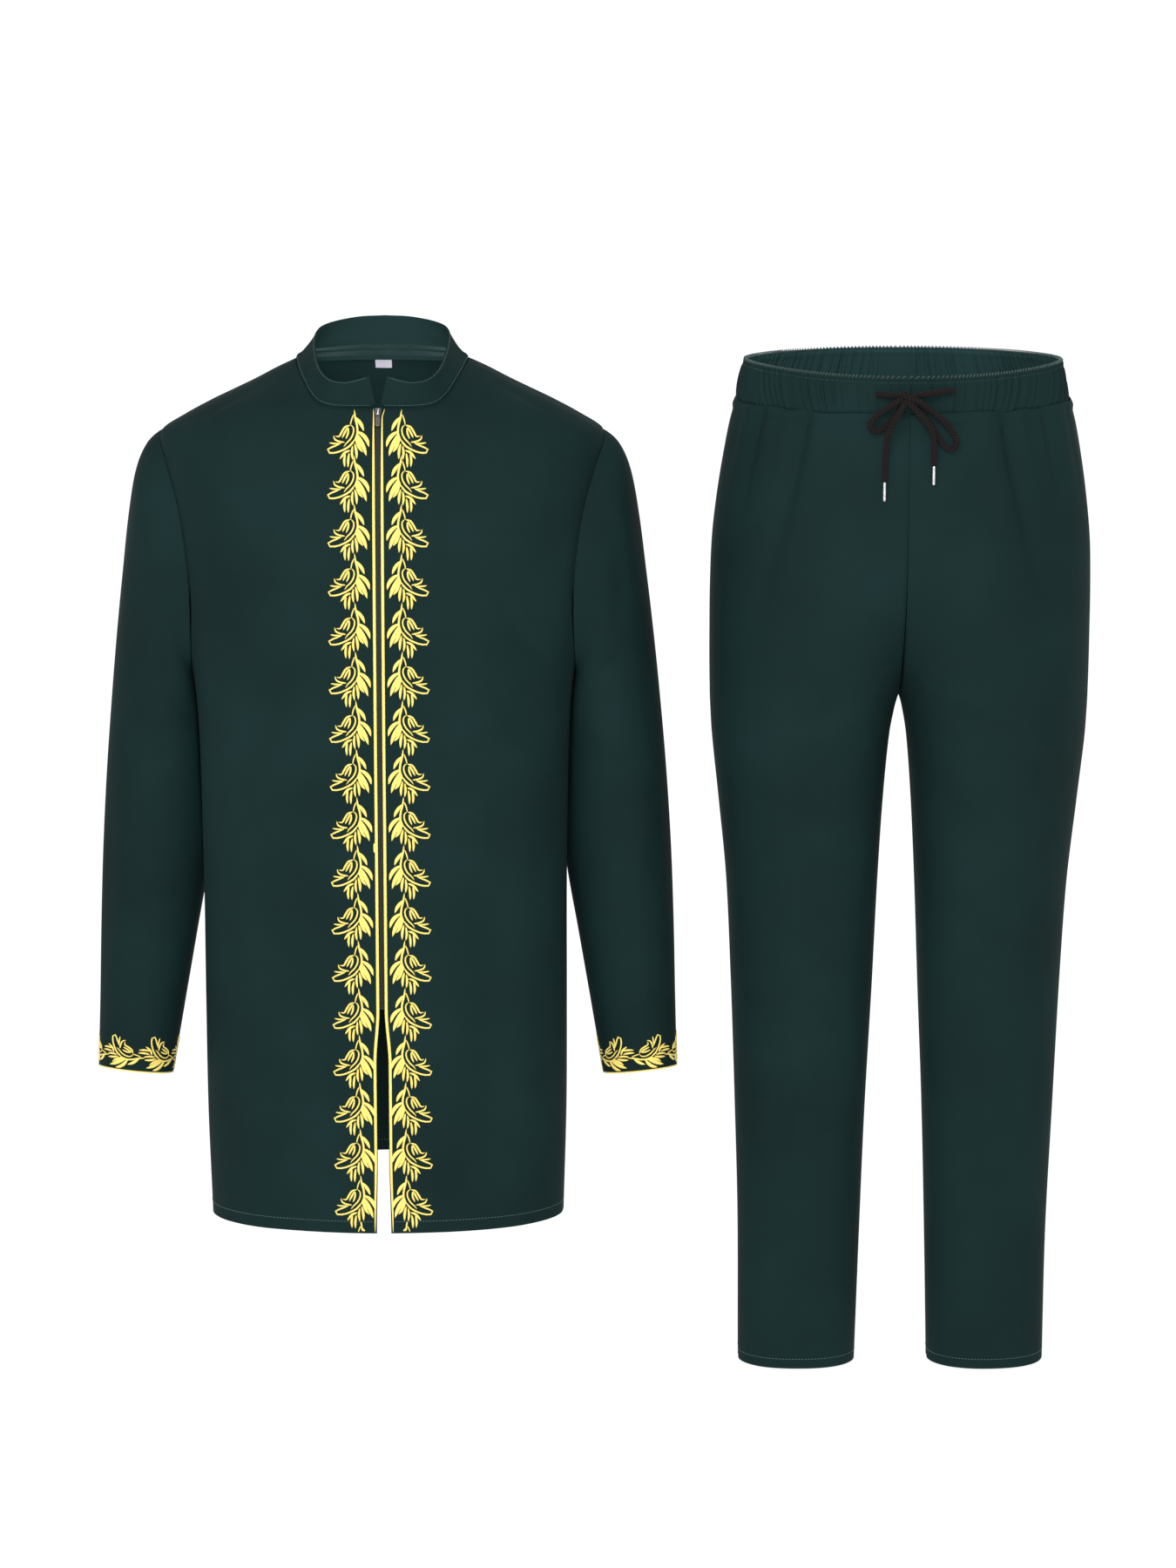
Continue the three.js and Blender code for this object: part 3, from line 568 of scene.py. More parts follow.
@dataclass(frozen=True)
class CrepeFinish:
    """A smooth dyed crepe with a fine grain and a soft sheen."""

    name: str = "bottle_green_crepe"
    dark: Colour = (0.0036, 0.0128, 0.0126)
    light: Colour = (0.0049, 0.0177, 0.018)
    roughness: float = 0.8
    specular: float = 0.085
    sheen: float = 0.008
    sheen_roughness: float = 0.45
    sheen_tint: Colour = (0.35, 0.62, 0.6)
    grain_per_m: float = 1500.0
    weave_per_m: float = 260.0

    def material(self) -> bpy.types.Material:
        """Makes the material."""
        shader = Shader(self.name)
        place = shader.add("ShaderNodeTexCoord")
        cloud = shader.noise(place, "Object", 9.0, 3.0)
        shader.ramp(cloud, ((0.3, self.dark), (0.72, self.light)))
        grain = shader.noise(place, "Object", self.grain_per_m, 2.0)
        weft = shader.add(
            "ShaderNodeTexWave", {"bands_direction": "Z"}, {"Scale": self.weave_per_m, "Distortion": 1.2}
        )
        shader.link(place, "Object", weft, "Vector")
        shader.bump([(weft, 0.03, 0.0002), (grain, 0.12, 0.0003)])
        return shader.finish({
            "Roughness": self.roughness, "Specular IOR Level": self.specular, "Sheen Weight": self.sheen,
            "Sheen Roughness": self.sheen_roughness, "Sheen Tint": (*self.sheen_tint, 1.0),
        })


@dataclass(frozen=True)
class SatinThreadFinish:
    """Embroidery thread laid side by side across each stroke."""

    name: str
    pale: Colour
    deep: Colour
    roughness: float = 0.42
    specular: float = 0.45
    sheen: float = 0.15
    thread_mm: float = 0.42

    def material(self) -> bpy.types.Material:
        """Makes the material."""
        shader = Shader(self.name)
        place = shader.add("ShaderNodeTexCoord")
        stretch = shader.add("ShaderNodeMapping", inputs={"Scale": (2.2, 0.35, 1.0)})
        shader.link(place, "UV", stretch, "Vector")
        streak = shader.noise(stretch, "Vector", 1.0, 3.0)
        shader.ramp(streak, ((0.32, self.deep), (0.6, self.pale)))
        thread = shader.add("ShaderNodeTexWave", inputs={"Scale": 0.314 / self.thread_mm, "Distortion": 0.8})
        shader.link(place, "UV", thread, "Vector")
        shader.bump([(thread, 0.35, 0.0002), (streak, 0.2, 0.0003)])
        return shader.finish({
            "Roughness": self.roughness, "Specular IOR Level": self.specular, "Sheen Weight": self.sheen,
        })


@dataclass(frozen=True)
class BraidFinish:
    """A round braided cord, whose strands cross on two slants, with painted shade in the grooves between them
    and a painted highlight on their crowns.
    """

    name: str = "black_braided_cord"
    # The cord's colour: darker in the grooves as painted shade, lighter on the strands' crowns as a painted
    # highlight.
    dark: Colour = (0.0035, 0.0026, 0.0026)
    light: Colour = (0.0125, 0.0088, 0.0088)
    roughness: float = 0.85
    specular: float = 0.09
    sheen: float = 0.02
    strand_mm: float = 3.4
    strands: float = 4.0

    def material(self) -> bpy.types.Material:
        """Makes the material."""
        shader = Shader(self.name)
        place = shader.add("ShaderNodeTexCoord")
        parts = shader.add("ShaderNodeSeparateXYZ")
        shader.link(place, "UV", parts, "Vector")
        along = shader.add("ShaderNodeMath", {"operation": "MULTIPLY"}, {1: 2 * math.pi / self.strand_mm})
        shader.link(parts, "X", along, 0)
        around = shader.add("ShaderNodeMath", {"operation": "MULTIPLY"}, {1: 2 * math.pi * self.strands})
        shader.link(parts, "Y", around, 0)
        slants = []
        for way in ("ADD", "SUBTRACT"):
            total = shader.add("ShaderNodeMath", {"operation": way})
            shader.link(along, 0, total, 0)
            shader.link(around, 0, total, 1)
            wave = shader.add("ShaderNodeMath", {"operation": "SINE"})
            shader.link(total, 0, wave, 0)
            slants.append(wave)
        braid = shader.add("ShaderNodeMath", {"operation": "MAXIMUM"})
        shader.link(slants[0], 0, braid, 0)
        shader.link(slants[1], 0, braid, 1)
        # Painted shade and highlight: the colour follows the strands' height, dark in the grooves and light on
        # the crowns.
        shader.ramp(braid, ((0.1, self.dark), (0.95, self.light)))
        fuzz = shader.noise(place, "Object", 1800.0, 2.0)
        shader.bump([(braid, 0.4, 0.0004), (fuzz, 0.3, 0.0003)])
        return shader.finish({
            "Roughness": self.roughness, "Specular IOR Level": self.specular, "Sheen Weight": self.sheen,
        })


@dataclass(frozen=True)
class WovenFinish:
    """A plain woven trim, such as zip tape or a satin label."""

    name: str
    dark: Colour
    light: Colour
    roughness: float

    def material(self) -> bpy.types.Material:
        """Makes the material."""
        shader = Shader(self.name)
        place = shader.add("ShaderNodeTexCoord")
        mottle = shader.noise(place, "Object", 700.0, 2.0)
        shader.ramp(mottle, ((0.3, self.dark), (0.7, self.light)))
        ribs = shader.add("ShaderNodeTexWave", {"bands_direction": "Z"}, {"Scale": 500.0, "Distortion": 0.6})
        shader.link(place, "Object", ribs, "Vector")
        shader.bump([(ribs, 0.2, 0.0002), (mottle, 0.15, 0.0002)])
        return shader.finish({"Roughness": self.roughness})


@dataclass(frozen=True)
class PlatedFinish:
    """Plated metal with faint rubbing."""

    name: str
    dark: Colour
    light: Colour
    roughness: float

    def material(self) -> bpy.types.Material:
        """Makes the material."""
        shader = Shader(self.name)
        place = shader.add("ShaderNodeTexCoord")
        cloud = shader.noise(place, "Object", 400.0, 4.0)
        shader.ramp(cloud, ((0.35, self.dark), (0.65, self.light)))
        shader.bump([(cloud, 0.05, 0.0001)])
        return shader.finish({"Metallic": 1.0, "Roughness": self.roughness})


@dataclass(frozen=True)
class FloorFinish:
    """A plain pale studio floor."""

    name: str = "pale_floor"
    colour: Colour = (0.3, 0.3, 0.3)
    roughness: float = 0.95
    glow: float = 0.85

    def material(self) -> bpy.types.Material:
        """Makes the material."""
        shader = Shader(self.name)
        place = shader.add("ShaderNodeTexCoord")
        cloud = shader.noise(place, "Object", 0.6, 1.0)
        paler = tuple(min(1.0, value * 1.01) for value in self.colour)
        shader.ramp(cloud, ((0.3, self.colour), (0.7, paler)))
        return shader.finish({
            "Roughness": self.roughness, "Specular IOR Level": 0.0, "Emission Color": (1.0, 1.0, 1.0, 1.0),
            "Emission Strength": self.glow,
        })


class Wardrobe:
    """Every material of the suit, made once."""

    def __init__(self) -> None:
        """Makes the materials."""
        self.crepe = CrepeFinish().material()
        self.gold = SatinThreadFinish("gold_satin_thread", (0.88, 0.72, 0.17), (0.62, 0.44, 0.07)).material()
        # The sewing thread is paler than the cloth. Along the collar's seams, its rows are partly real
        # topstitching and partly a painted highlight.
        self.sewing = SatinThreadFinish(
            "green_sewing_thread", (0.05, 0.12, 0.115), (0.02, 0.06, 0.056), 0.6
        ).material()
        self.serging = SatinThreadFinish(
            "green_serging_thread", (0.016, 0.046, 0.044), (0.006, 0.02, 0.019), 0.7
        ).material()
        self.cord = BraidFinish().material()
        self.tape = WovenFinish("dark_zip_tape", (0.004, 0.008, 0.008), (0.009, 0.016, 0.016), 0.7).material()
        self.label = WovenFinish("pale_satin_label", (0.36, 0.345, 0.41), (0.44, 0.42, 0.49), 0.5).material()
        self.nickel = PlatedFinish("bright_nickel", (0.55, 0.55, 0.56), (0.78, 0.78, 0.78), 0.2).material()
        self.bronze = PlatedFinish("dark_bronze", (0.1, 0.055, 0.035), (0.2, 0.12, 0.075), 0.35).material()
        self.enamel = WovenFinish("black_enamel", (0.006, 0.006, 0.007), (0.009, 0.009, 0.01), 0.3).material()


# The photograph's view


SET_MIDDLE: Place = (0.202, 0.0, -0.425)


@dataclass(frozen=True)
class Lamp:
    """A soft light, with its places and its two sides in metres. It is seen unless it is inside a garment."""

    name: str
    at: Place
    aim_at: Place
    sides: tuple[float, float]
    watts: float
    seen: bool = True

    def build(self) -> None:
        """Adds the light."""
        data = bpy.data.lights.new(self.name, "AREA")
        data.shape = "RECTANGLE"
        data.size, data.size_y = self.sides
        data.energy = self.watts
        light = in_scene(self.name, data)
        light.visible_camera = self.seen
        face_towards(light, self.at, self.aim_at)


@dataclass(frozen=True)
class Studio:
    """The camera, a pale floor and soft light."""

    camera_at: Place = (0.202, -4.2, 0.3534)
    lens_mm: float = 98.2
    sensor_mm: float = 36.0
    clip_m: tuple[float, float] = (0.05, 3000.0)
    floor_gap: float = 2.0
    floor_half_m: float = 1500.0
    world_strength: float = 0.7
    lamps: Sequence[Lamp] = (
        Lamp("key", (-0.7, -3.4, 2.3), SET_MIDDLE, (1.6, 1.6), 85.0),
        Lamp("fill", (0.25, -4.5, 0.62), SET_MIDDLE, (0.6, 0.6), 100.0),
        Lamp("neck_light", (0.0, -0.03, -0.035), (0.0, 0.075, -0.012), (0.06, 0.02), 0.15, seen=False),
        Lamp("waist_light", (TROUSERS_X * MM, -0.05, 0.08), (TROUSERS_X * MM, 0.09, 0.0), (0.22, 0.02), 0.5,
             seen=False),
    )

    def camera(self) -> None:
        """Places the camera at the photograph's viewing angle."""
        data = bpy.data.cameras.new("Camera")
        data.lens = self.lens_mm
        data.sensor_fit = "VERTICAL"
        data.sensor_height = self.sensor_mm
        data.clip_start, data.clip_end = self.clip_m
        camera = in_scene("Camera", data)
        face_towards(camera, self.camera_at, SET_MIDDLE)
        bpy.context.scene.camera = camera

    def build(self) -> None:
        """Adds the floor, the world's light, the lamps and the view settings."""
        low = cad_box[0][2] - self.floor_gap * MM
        half = self.floor_half_m
        mesh = bpy.data.meshes.new("floor")
        corners = [(-half, -half, low), (half, -half, low), (half, half, low), (-half, half, low)]
        mesh.from_pydata(corners, [], [(0, 1, 2, 3)])
        mesh.materials.append(FloorFinish().material())
        in_scene("floor", mesh)
        world = bpy.data.worlds.new("studio")
        world.use_nodes = True
        background = world.node_tree.nodes["Background"]
        background.inputs["Color"].default_value = (1.0, 1.0, 1.0, 1.0)
        background.inputs["Strength"].default_value = self.world_strength
        bpy.context.scene.world = world
        for lamp in self.lamps:
            lamp.build()
        settings = bpy.context.scene.view_settings
        settings.view_transform = "Standard"
        settings.look = "None"


# Drawstring


@dataclass(frozen=True)
class Drawstring:
    """The drawstring's two ends, its knot and its metal tips, with places from the trousers' centre."""

    knot_at: Place = (-3.0, -107.5, -29.5)
    leads: dict[str, Sequence[Sequence[float]]] = field(default_factory=lambda: {
        "right": [[-32, -96.8, -27], [-27, -99.7, -26.6], [-20, -101.8, -27.2], [-9.4, -103.1, -28.7]],
        "left": [[42, -95.9, -23.5], [36, -99.1, -23.4], [24, -101.9, -24.8], [12, -103, -26.6],
                 [3.5, -103.3, -28.3]],
    })
    loops: dict[str, Sequence[Sequence[float]]] = field(default_factory=lambda: {
        "right": [[-10.1, -109.9, -31.4], [-18, -108.6, -36.5], [-28, -106, -43.5], [-35.5, -104.6, -50.5],
                  [-38.5, -104, -57], [-34, -104, -61.5], [-26, -104, -59], [-18.5, -104, -51.5],
                  [-12.6, -104, -43.5], [-6.8, -104.7, -35.1]],
        "left": [[4.1, -109.9, -31.4], [13, -108.6, -37], [24, -106.6, -45], [34, -105.2, -54.5],
                 [42.5, -104.8, -65], [44.5, -104.8, -74], [38.5, -104.8, -79], [31, -104.8, -73.5],
                 [24, -104.6, -62], [16, -104.2, -50], [8.6, -104.2, -41.4], [1.9, -104.6, -34.5]],
    })
    tails: dict[str, Sequence[Sequence[float]]] = field(default_factory=lambda: {
        "right": [[-5.9, -110.8, -35.6], [-11, -112.2, -44.5], [-17, -112.6, -54], [-21.5, -111.6, -64],
                  [-23.4, -108.4, -78], [-24, -106.6, -94], [-24, -106.2, -110]],
        "left": [[-0.1, -111.2, -35.7], [7.6, -112.7, -44], [15, -113.2, -52.5], [20.5, -112.2, -60.5],
                 [22.6, -108.8, -71], [23, -106.4, -82], [23.2, -105.8, -94.5]],
    })
    wraps: Sequence[Sequence[Sequence[float]]] = (
        ((-6.0, 2.5, 3.4), (-4.4, -2.6, 3.0), (-0.4, -4.8, 1.4), (4.0, -3.0, -1.6), (5.4, 2.6, -3.2)),
        ((-5.4, 2.6, -2.4), (-4.0, -2.4, -3.0), (0.2, -3.6, -3.2), (4.2, -1.4, -0.4), (5.0, 3.0, 2.2)),
        ((-2.6, 3.0, 5.0), (-1.0, -2.4, 4.4), (1.2, -3.6, 1.6), (1.0, -3.2, -2.4), (-1.2, -0.6, -5.4)),
    )
    wrap_radius: float = 2.5
    core: tuple[float, float, float] = (4.6, 5.4, 4.8)
    tip_length: float = 18.5
    tip_radius: float = 1.6

    def _in_place(self, points: Sequence[Sequence[float]]) -> Array:
        """Moves points from the trousers' centre to the frame."""
        return np.asarray(points, dtype=float) + (TROUSERS_X, 0.0, 0.0)

    def _tip(self, word: str, material: bpy.types.Material) -> bpy.types.Object:
        """Makes the crimped metal tip on one tail.

        Args:
            word: The tail's side.
            material: The metal.

        Returns:
            The tip.
        """
        end = self._in_place(self.tails[word])[-1]
        profile = ((0.0, 0.82), (0.02, 0.98), (0.08, 1.0), (0.14, 0.88), (0.2, 1.0), (0.26, 0.88),
                   (0.32, 1.0), (0.9, 0.97), (0.96, 0.9), (1.0, 0.6))
        share, wide = np.array(profile).T
        path = end + np.stack([0 * share, 0 * share, -SEAM_GAP - share * self.tip_length], axis=1)
        parts = MeshParts()
        parts.tube(path, wide * self.tip_radius, 20, np.array((0.0, 1.0, 0.0)))
        return parts.make(f"drawstring_tip_{word}", material, [f"aglet_{word}"], 40.0)

    def _knot(self, material: bpy.types.Material) -> bpy.types.Object:
        """Makes the wraps of the knot round its core."""
        centre = self._in_place([self.knot_at])[0]
        parts = MeshParts()
        for wrap in self.wraps:
            path = centre + curve_through(wrap, 26)
            parts.tube(path, self.wrap_radius, 16, np.array((0.31, 0.22, 0.93)))
        height = np.linspace(-1.0, 1.0, 13)
        spine = centre + np.stack([0 * height, 0 * height, 0.96 * self.core[2] * height], axis=1)
        girth = np.sqrt(np.maximum(1 - (0.98 * height) ** 2, 0.0)) * self.core[0]
        parts.tube(spine, girth, 18, np.array((0.0, 1.0, 0.0)))
        return parts.make("drawstring_knot", material, ["cord_knot"])

    def build(self, wardrobe: Wardrobe) -> None:
        """Args:
            wardrobe: The suit's materials.
        """
        knot = self._knot(wardrobe.cord)
        for lead, loop, tail in (("right", "left", "right"), ("left", "right", "left")):
            route = [*self.leads[lead], *self.loops[loop], *self.tails[tail]]
            path = curve_through(self._in_place(route), 240)
            parts = MeshParts()
            parts.tube(path, CORD_RADIUS, 16, np.array((0.0, 1.0, 0.0)))
            nodes = [f"cord_lead_{lead}", f"cord_loop_{loop}", f"cord_tail_{tail}"]
            cord = parts.make(f"drawstring_{tail}", wardrobe.cord, nodes)
            tip = self._tip(tail, wardrobe.nickel)


# Sewing


@dataclass(frozen=True)
class Stitching:
    """Short raised stitches along a line."""

    length: float = 2.4
    gap: float = 0.9
    radius: float = 0.32

    def add(self, parts: MeshParts, line: Array, normals: Array) -> None:
        """Adds the stitches of one line.

        Args:
            parts: The mesh that they are added to.
            line: Points of the line on the cloth.
            normals: The cloth's outward normal at each.
        """
        along = lengths_along(line)
        pitch = self.length + self.gap
        starts = np.arange(0.5 * self.gap, along[-1] - self.length, pitch)
        share = np.array((0.0, 0.18, 0.5, 0.82, 1.0))
        girth = np.array((0.35, 0.85, 1.0, 0.85, 0.35)) * self.radius
        lift = np.array((-0.25, 0.1, 0.25, 0.1, -0.25)) * self.radius
        for start in starts:
            at = start + share * self.length
            path = np.stack([np.interp(at, along, line[:, k]) for k in range(3)], axis=1)
            normal = unit(np.stack([np.interp(at, along, normals[:, k]) for k in range(3)], axis=1))
            parts.tube(path + lift[:, None] * normal, girth, 5, normal)


# Kurta


@dataclass
class Torso:
    """The filled-out form of the kurta's body, as level sections."""

    table: Table = field(default_factory=lambda: Table("z side front back mid", [
        (6, 76, 30, 52, 8),
        (0, 86, 37, 57, 8),
        (-9, 105, 53, 68, 8),
        (-20, 126, 70, 79, 7.5),
        (-31, 149, 84, 87, 7),
        (-40, 168, 95, 92, 6.5),
        (-55, 196, 102, 98, 6),
        (-70, 218, 106, 103, 5),
        (-100, 220, 110, 109, 4),
        (-140, 217, 113, 115, 2),
        (-190, 213, 112, 118, -1),
        (-250, 202, 110, 119, -5),
        (-305, 190, 108, 119, -8),
        (-360, 185, 105, 118, -12),
        (-440, 183, 102, 118, -14),
        (-530, 182, 101, 118, -15),
        (-640, 182, 99, 121, -16),
        (-750, 181.5, 98, 124, -16),
        (-857, 178.5, 97, 126, -16),
    ]))

    def side(self, z: Array) -> Array:
        """The half width at a height."""
        return self.table.read("side", z)

    def depth(self, z: Array, face: Face) -> Array:
        """The depth from the side line to the front or the back at a height."""
        return self.table.read(face.word, z)

    def mid(self, z: Array) -> Array:
        """The Y of the side line at a height."""
        return self.table.read("mid", z)

    def point(self, x: Array, z: Array, face: Face) -> Array:
        """Points of the surface.

        Args:
            x: How far to the side each is.
            z: The height of each.
            face: The front or the back.

        Returns:
            The points.
        """
        x, z = np.broadcast_arrays(np.asarray(x, dtype=float), np.asarray(z, dtype=float))
        left = np.maximum(0.0, 1 - (np.abs(x) / self.side(z)) ** ROUNDNESS)
        y = self.mid(z) + face.value * self.depth(z, face) * left ** (1 / ROUNDNESS)
        return np.stack([x, y, z], axis=-1)

    def reach(self, y: Array, z: Array) -> Array:
        """The half width of the surface at a depth and a height."""
        ahead = y - self.mid(z)
        depth = np.where(ahead < 0, self.depth(z, Face.FRONT), self.depth(z, Face.BACK))
        left = np.maximum(0.0, 1 - (np.abs(ahead) / depth) ** ROUNDNESS)
        return self.side(z) * left ** (1 / ROUNDNESS)

    def inside(self, points: Array) -> Array:
        """Below 0 inside the surface and above 0 outside."""
        x, y, z = np.moveaxis(points, -1, 0)
        ahead = y - self.mid(z)
        depth = np.where(ahead < 0, self.depth(z, Face.FRONT), self.depth(z, Face.BACK))
        return (np.abs(x) / self.side(z)) ** ROUNDNESS + (np.abs(ahead) / depth) ** ROUNDNESS - 1

    def normal(self, points: Array) -> Array:
        """The outward normals at points of the surface."""
        return field_normal(self.inside, points)

    def shoulder_z(self, x: Array) -> Array:
        """The height of the shoulder line at a distance from the centre."""
        z = np.linspace(6.0, -70.0, 400)
        return np.interp(x, self.side(z), z)


@dataclass
class Panels:
    """The kurta's fronts and back, cut from the torso's form."""

    torso: Torso
    arm_rows: int = 8
    body_rows: int = 8
    shoulder_steps: int = 7
    neck_steps: dict[Face, int] = field(default_factory=lambda: {Face.FRONT: 7, Face.BACK: 6})
    armhole_top: float = -70.0
    armhole_depth: float = 57.0
    seam_roll: float = 1.1
    seam_width: float = 2.4
    side_slope: float = 1.25
    top_slope: float = 1.15
    flat_roll_at: float = UNDERARM_Z + 22.0
    flat_roll_reach: float = 28.0
    flat_roll_share: float = 0.9
    parting: float = 3.4
    parting_run: float = 55.0
    flare: float = 1.4
    flare_top: float = 780.0
    neck: dict[Face, Sequence[tuple[float, float]]] = field(default_factory=lambda: {
        Face.FRONT: ((2.3, -40), (30, -40), (49, -38.6), (59, -35), (67, -28), (74, -18), (80, -9), (86, 0)),
        Face.BACK: ((0, -5), (35, -5), (60, -5), (75, -3.6), (86, 0)),
    })
    creases: dict[Face, Sequence[Crease]] = field(default_factory=lambda: {
        Face.FRONT: (
            Crease(-196, -118, -148, -330, -10, 1.8, 15),
            Crease(-178, -140, -120, -420, 12, -1.6, 22),
            Crease(-183, -300, -128, -210, -8, -2.0, 9),
            Crease(-180, -335, -105, -262, -6, 1.3, 11),
            Crease(-150, -360, -140, -760, 14, 1.8, 20),
            Crease(-112, -470, -98, -840, -8, -1.7, 17),
            Crease(-74, -130, -66, -330, 6, -1.0, 20),
            Crease(-92, -640, -120, -860, 5, 1.5, 14),
            Crease(196, -112, 160, -300, 12, 1.8, 16),
            Crease(184, -132, 132, -372, -10, -1.7, 21),
            Crease(182, -296, 118, -228, 8, -2.1, 10),
            Crease(176, -352, 124, -300, 6, 1.2, 10),
            Crease(146, -390, 152, -800, -12, 1.9, 19),
            Crease(108, -520, 88, -850, 9, -1.6, 18),
            Crease(70, -150, 78, -300, -5, -0.9, 18),
            Crease(96, -700, 132, -860, 6, 1.3, 13),
            Crease(-60, -60, -120, -86, 4, -1.1, 10),
            Crease(66, -56, 128, -92, -5, -1.2, 11),
            Crease(-112, -23, -176, -57, -3, -2.0, 3.4),
            Crease(110, -22, 172, -54, 3, -2.0, 3.4),
        ),
        Face.BACK: (
            Crease(-184, -300, -116, -214, -9, -2.2, 10),
            Crease(-190, -120, -138, -360, -12, 1.9, 18),
            Crease(-128, -230, -92, -560, 10, -2.0, 20),
            Crease(-60, -420, -84, -820, -8, 1.8, 18),
            Crease(-146, -520, -132, -830, 9, -1.8, 16),
            Crease(186, -292, 104, -232, 7, -2.0, 11),
            Crease(192, -116, 144, -330, 10, 2.0, 17),
            Crease(118, -260, 96, -600, -9, -1.9, 21),
            Crease(40, -500, 66, -826, 7, 1.7, 19),
            Crease(150, -480, 140, -810, -8, 1.6, 15),
            Crease(-70, -26, 60, -34, 6, -1.4, 12),
            Crease(-8, -300, 6, -640, 9, -1.2, 24),
        ),
    })

    def front_edge(self, z: Array) -> Array:
        """How far a front's edge is from the centre line: straight along the zip, and parted below it."""
        parted = smooth_step(-z, -ZIP_END_Z, -ZIP_END_Z + self.parting_run)
        return ZIP_HALF_CHANNEL + self.parting * parted + self.flare * smooth_step(-z, self.flare_top, -HEM_Z)

    def neck_line(self, face: Face, samples: int) -> Array:
        """Evenly spaced points of the neck seam from the centre to the neck point."""
        x, z = np.array(self.neck[face], dtype=float).T
        return curve_through(self.torso.point(x, z, face), samples)

    def armhole(self, angle: Array, face: Array | int) -> Array:
        """Points of the left armhole.

        Args:
            angle: 0 at the shoulder tip and half a turn under the arm.
            face: -1 for the front and 1 for the back, for each angle.

        Returns:
            The points.
        """
        along = (1 - np.cos(angle)) / 2
        ridge, under = self.torso.mid(self.armhole_top), self.torso.mid(UNDERARM_Z)
        y = mix(ridge, under, along) + face * self.armhole_depth * np.sin(angle)
        z = mix(self.armhole_top, UNDERARM_Z, along)
        return np.stack([self.torso.reach(y, z), y, z], axis=-1)

    def lift(self, x: Array, z: Array, face: Face, from_seam: Array, from_top: Array) -> Array:
        """How far the cloth stands out from the plain form.

        Args:
            x: The side place of each point, with its sign.
            z: The height of each point.
            face: The front or the back.
            from_seam: The distance of each point from the side seam or the armhole.
            from_top: The distance of each point from the neck or the shoulder seam.

        Returns:
            The outward move of each point.
        """
        free = smooth_step(from_seam, 0.0, 16.0) * smooth_step(from_top, 0.0, 14.0)
        nearest = np.minimum(from_seam, from_top)
        underarm = np.exp(-(((z - self.flat_roll_at) / self.flat_roll_reach) ** 2))
        roll = self.seam_roll * np.exp(-((nearest / self.seam_width) ** 2))
        roll = roll * (1 - self.flat_roll_share * underarm)
        return relief(self.creases[face], x, z) * free - roll

    def half(self, face: Face, rows: Array, share: Array, sign: int) -> tuple[Array, Array]:
        """The outer points and normals of half a front or back.

        Args:
            face: The front or the back.
            rows: Row values, from 0 at the top to arm_rows + body_rows at the hem.
            share: Column values, from 0 at the centre to 1 at the side.
            sign: The sign of X.

        Returns:
            The grid of points and its normals.
        """
        torso, neck_steps = self.torso, self.neck_steps[face]
        steps = neck_steps + self.shoulder_steps
        column = share * steps
        line = self.neck_line(face, 200)
        neck_at = np.clip(column / neck_steps, 0.0, 1.0)
        spots = np.linspace(0.0, 1.0, len(line))
        beyond = np.clip((column - neck_steps) / self.shoulder_steps, 0.0, 1.0)
        shoulder_x = mix(NECK_HALF, SHOULDER_HALF, np.sin(math.pi / 2 * beyond))
        on_neck = column <= neck_steps
        top_x = np.where(on_neck, np.interp(neck_at, spots, line[:, 0]), shoulder_x)
        top_z = np.where(on_neck, np.interp(neck_at, spots, line[:, 2]), torso.shoulder_z(shoulder_x))
        centre = self.front_edge if face is Face.FRONT else (lambda z: 0.0 * z)
        edge = float(centre(np.array(0.0)))
        top_share = (top_x - edge) / (SHOULDER_HALF - edge)
        even_share = np.sin(math.pi / 2 * share) ** 1.1
        i, top_z = rows[:, None], top_z[None, :]
        f = mix(top_share[None, :], even_share[None, :], smooth_step(i, 0.0, self.arm_rows))
        t = np.clip(i / self.arm_rows, 0.0, 1.0)
        arm = self.armhole(math.pi * t, face.value)
        down = mix(t**1.7, (1 - np.cos(math.pi * t)) / 2, np.clip(f, 0.0, 1.0) ** 5)
        upper_z = mix(top_z, UNDERARM_Z, down)
        rise = BACK_HEM_RISE * (1 - f * f) if face is Face.BACK else 0.0
        low = np.clip((i - self.arm_rows) / self.body_rows, 0.0, 1.0)
        z = np.where(i <= self.arm_rows, upper_z, mix(UNDERARM_Z, HEM_Z + rise, low))
        outer = np.where(i <= self.arm_rows, arm[..., 0], torso.side(z))
        x = mix(centre(z), outer, f)
        points = torso.point(np.minimum(x, torso.side(z)), z, face)
        points[..., 0] *= sign
        normals = torso.normal(points)
        from_seam = np.abs(outer - x) * self.side_slope
        lift = self.lift(points[..., 0], z, face, from_seam, np.maximum(top_z - z, 0.0) * self.top_slope)
        points = points + lift[..., None] * normals
        points[..., 1] += face.value * SEAM_GAP / 2
        return points, normals

    def front_cloth(self, x: Array, z: Array) -> tuple[Array, Array]:
        """Points and normals of the fronts' outer face near the zip, for what is sewn there."""
        plain = self.torso.point(x, z, Face.FRONT)
        normals = self.torso.normal(plain)
        far = np.full(np.shape(plain)[:-1], 100.0)
        from_top = np.maximum(self.neck[Face.FRONT][0][1] - plain[..., 2], 0.0) * self.top_slope
        lift = self.lift(plain[..., 0], plain[..., 2], Face.FRONT, far, from_top)
        points = plain + lift[..., None] * normals
        points[..., 1] -= SEAM_GAP / 2
        return points, normals


def edged(count: int, reach: float) -> Array:
    """Values from 0 to 1 that crowd towards both ends, so that seams get fine steps.

    Args:
        count: How many even steps there are.
        reach: How close to an end the extra values lie.

    Returns:
        The values in order.
    """
    even = np.linspace(0.0, 1.0, count + 1)
    extra = reach * np.array((0.12, 0.28, 0.5, 0.75))
    return np.unique(np.concatenate([even, extra, 1 - extra]))


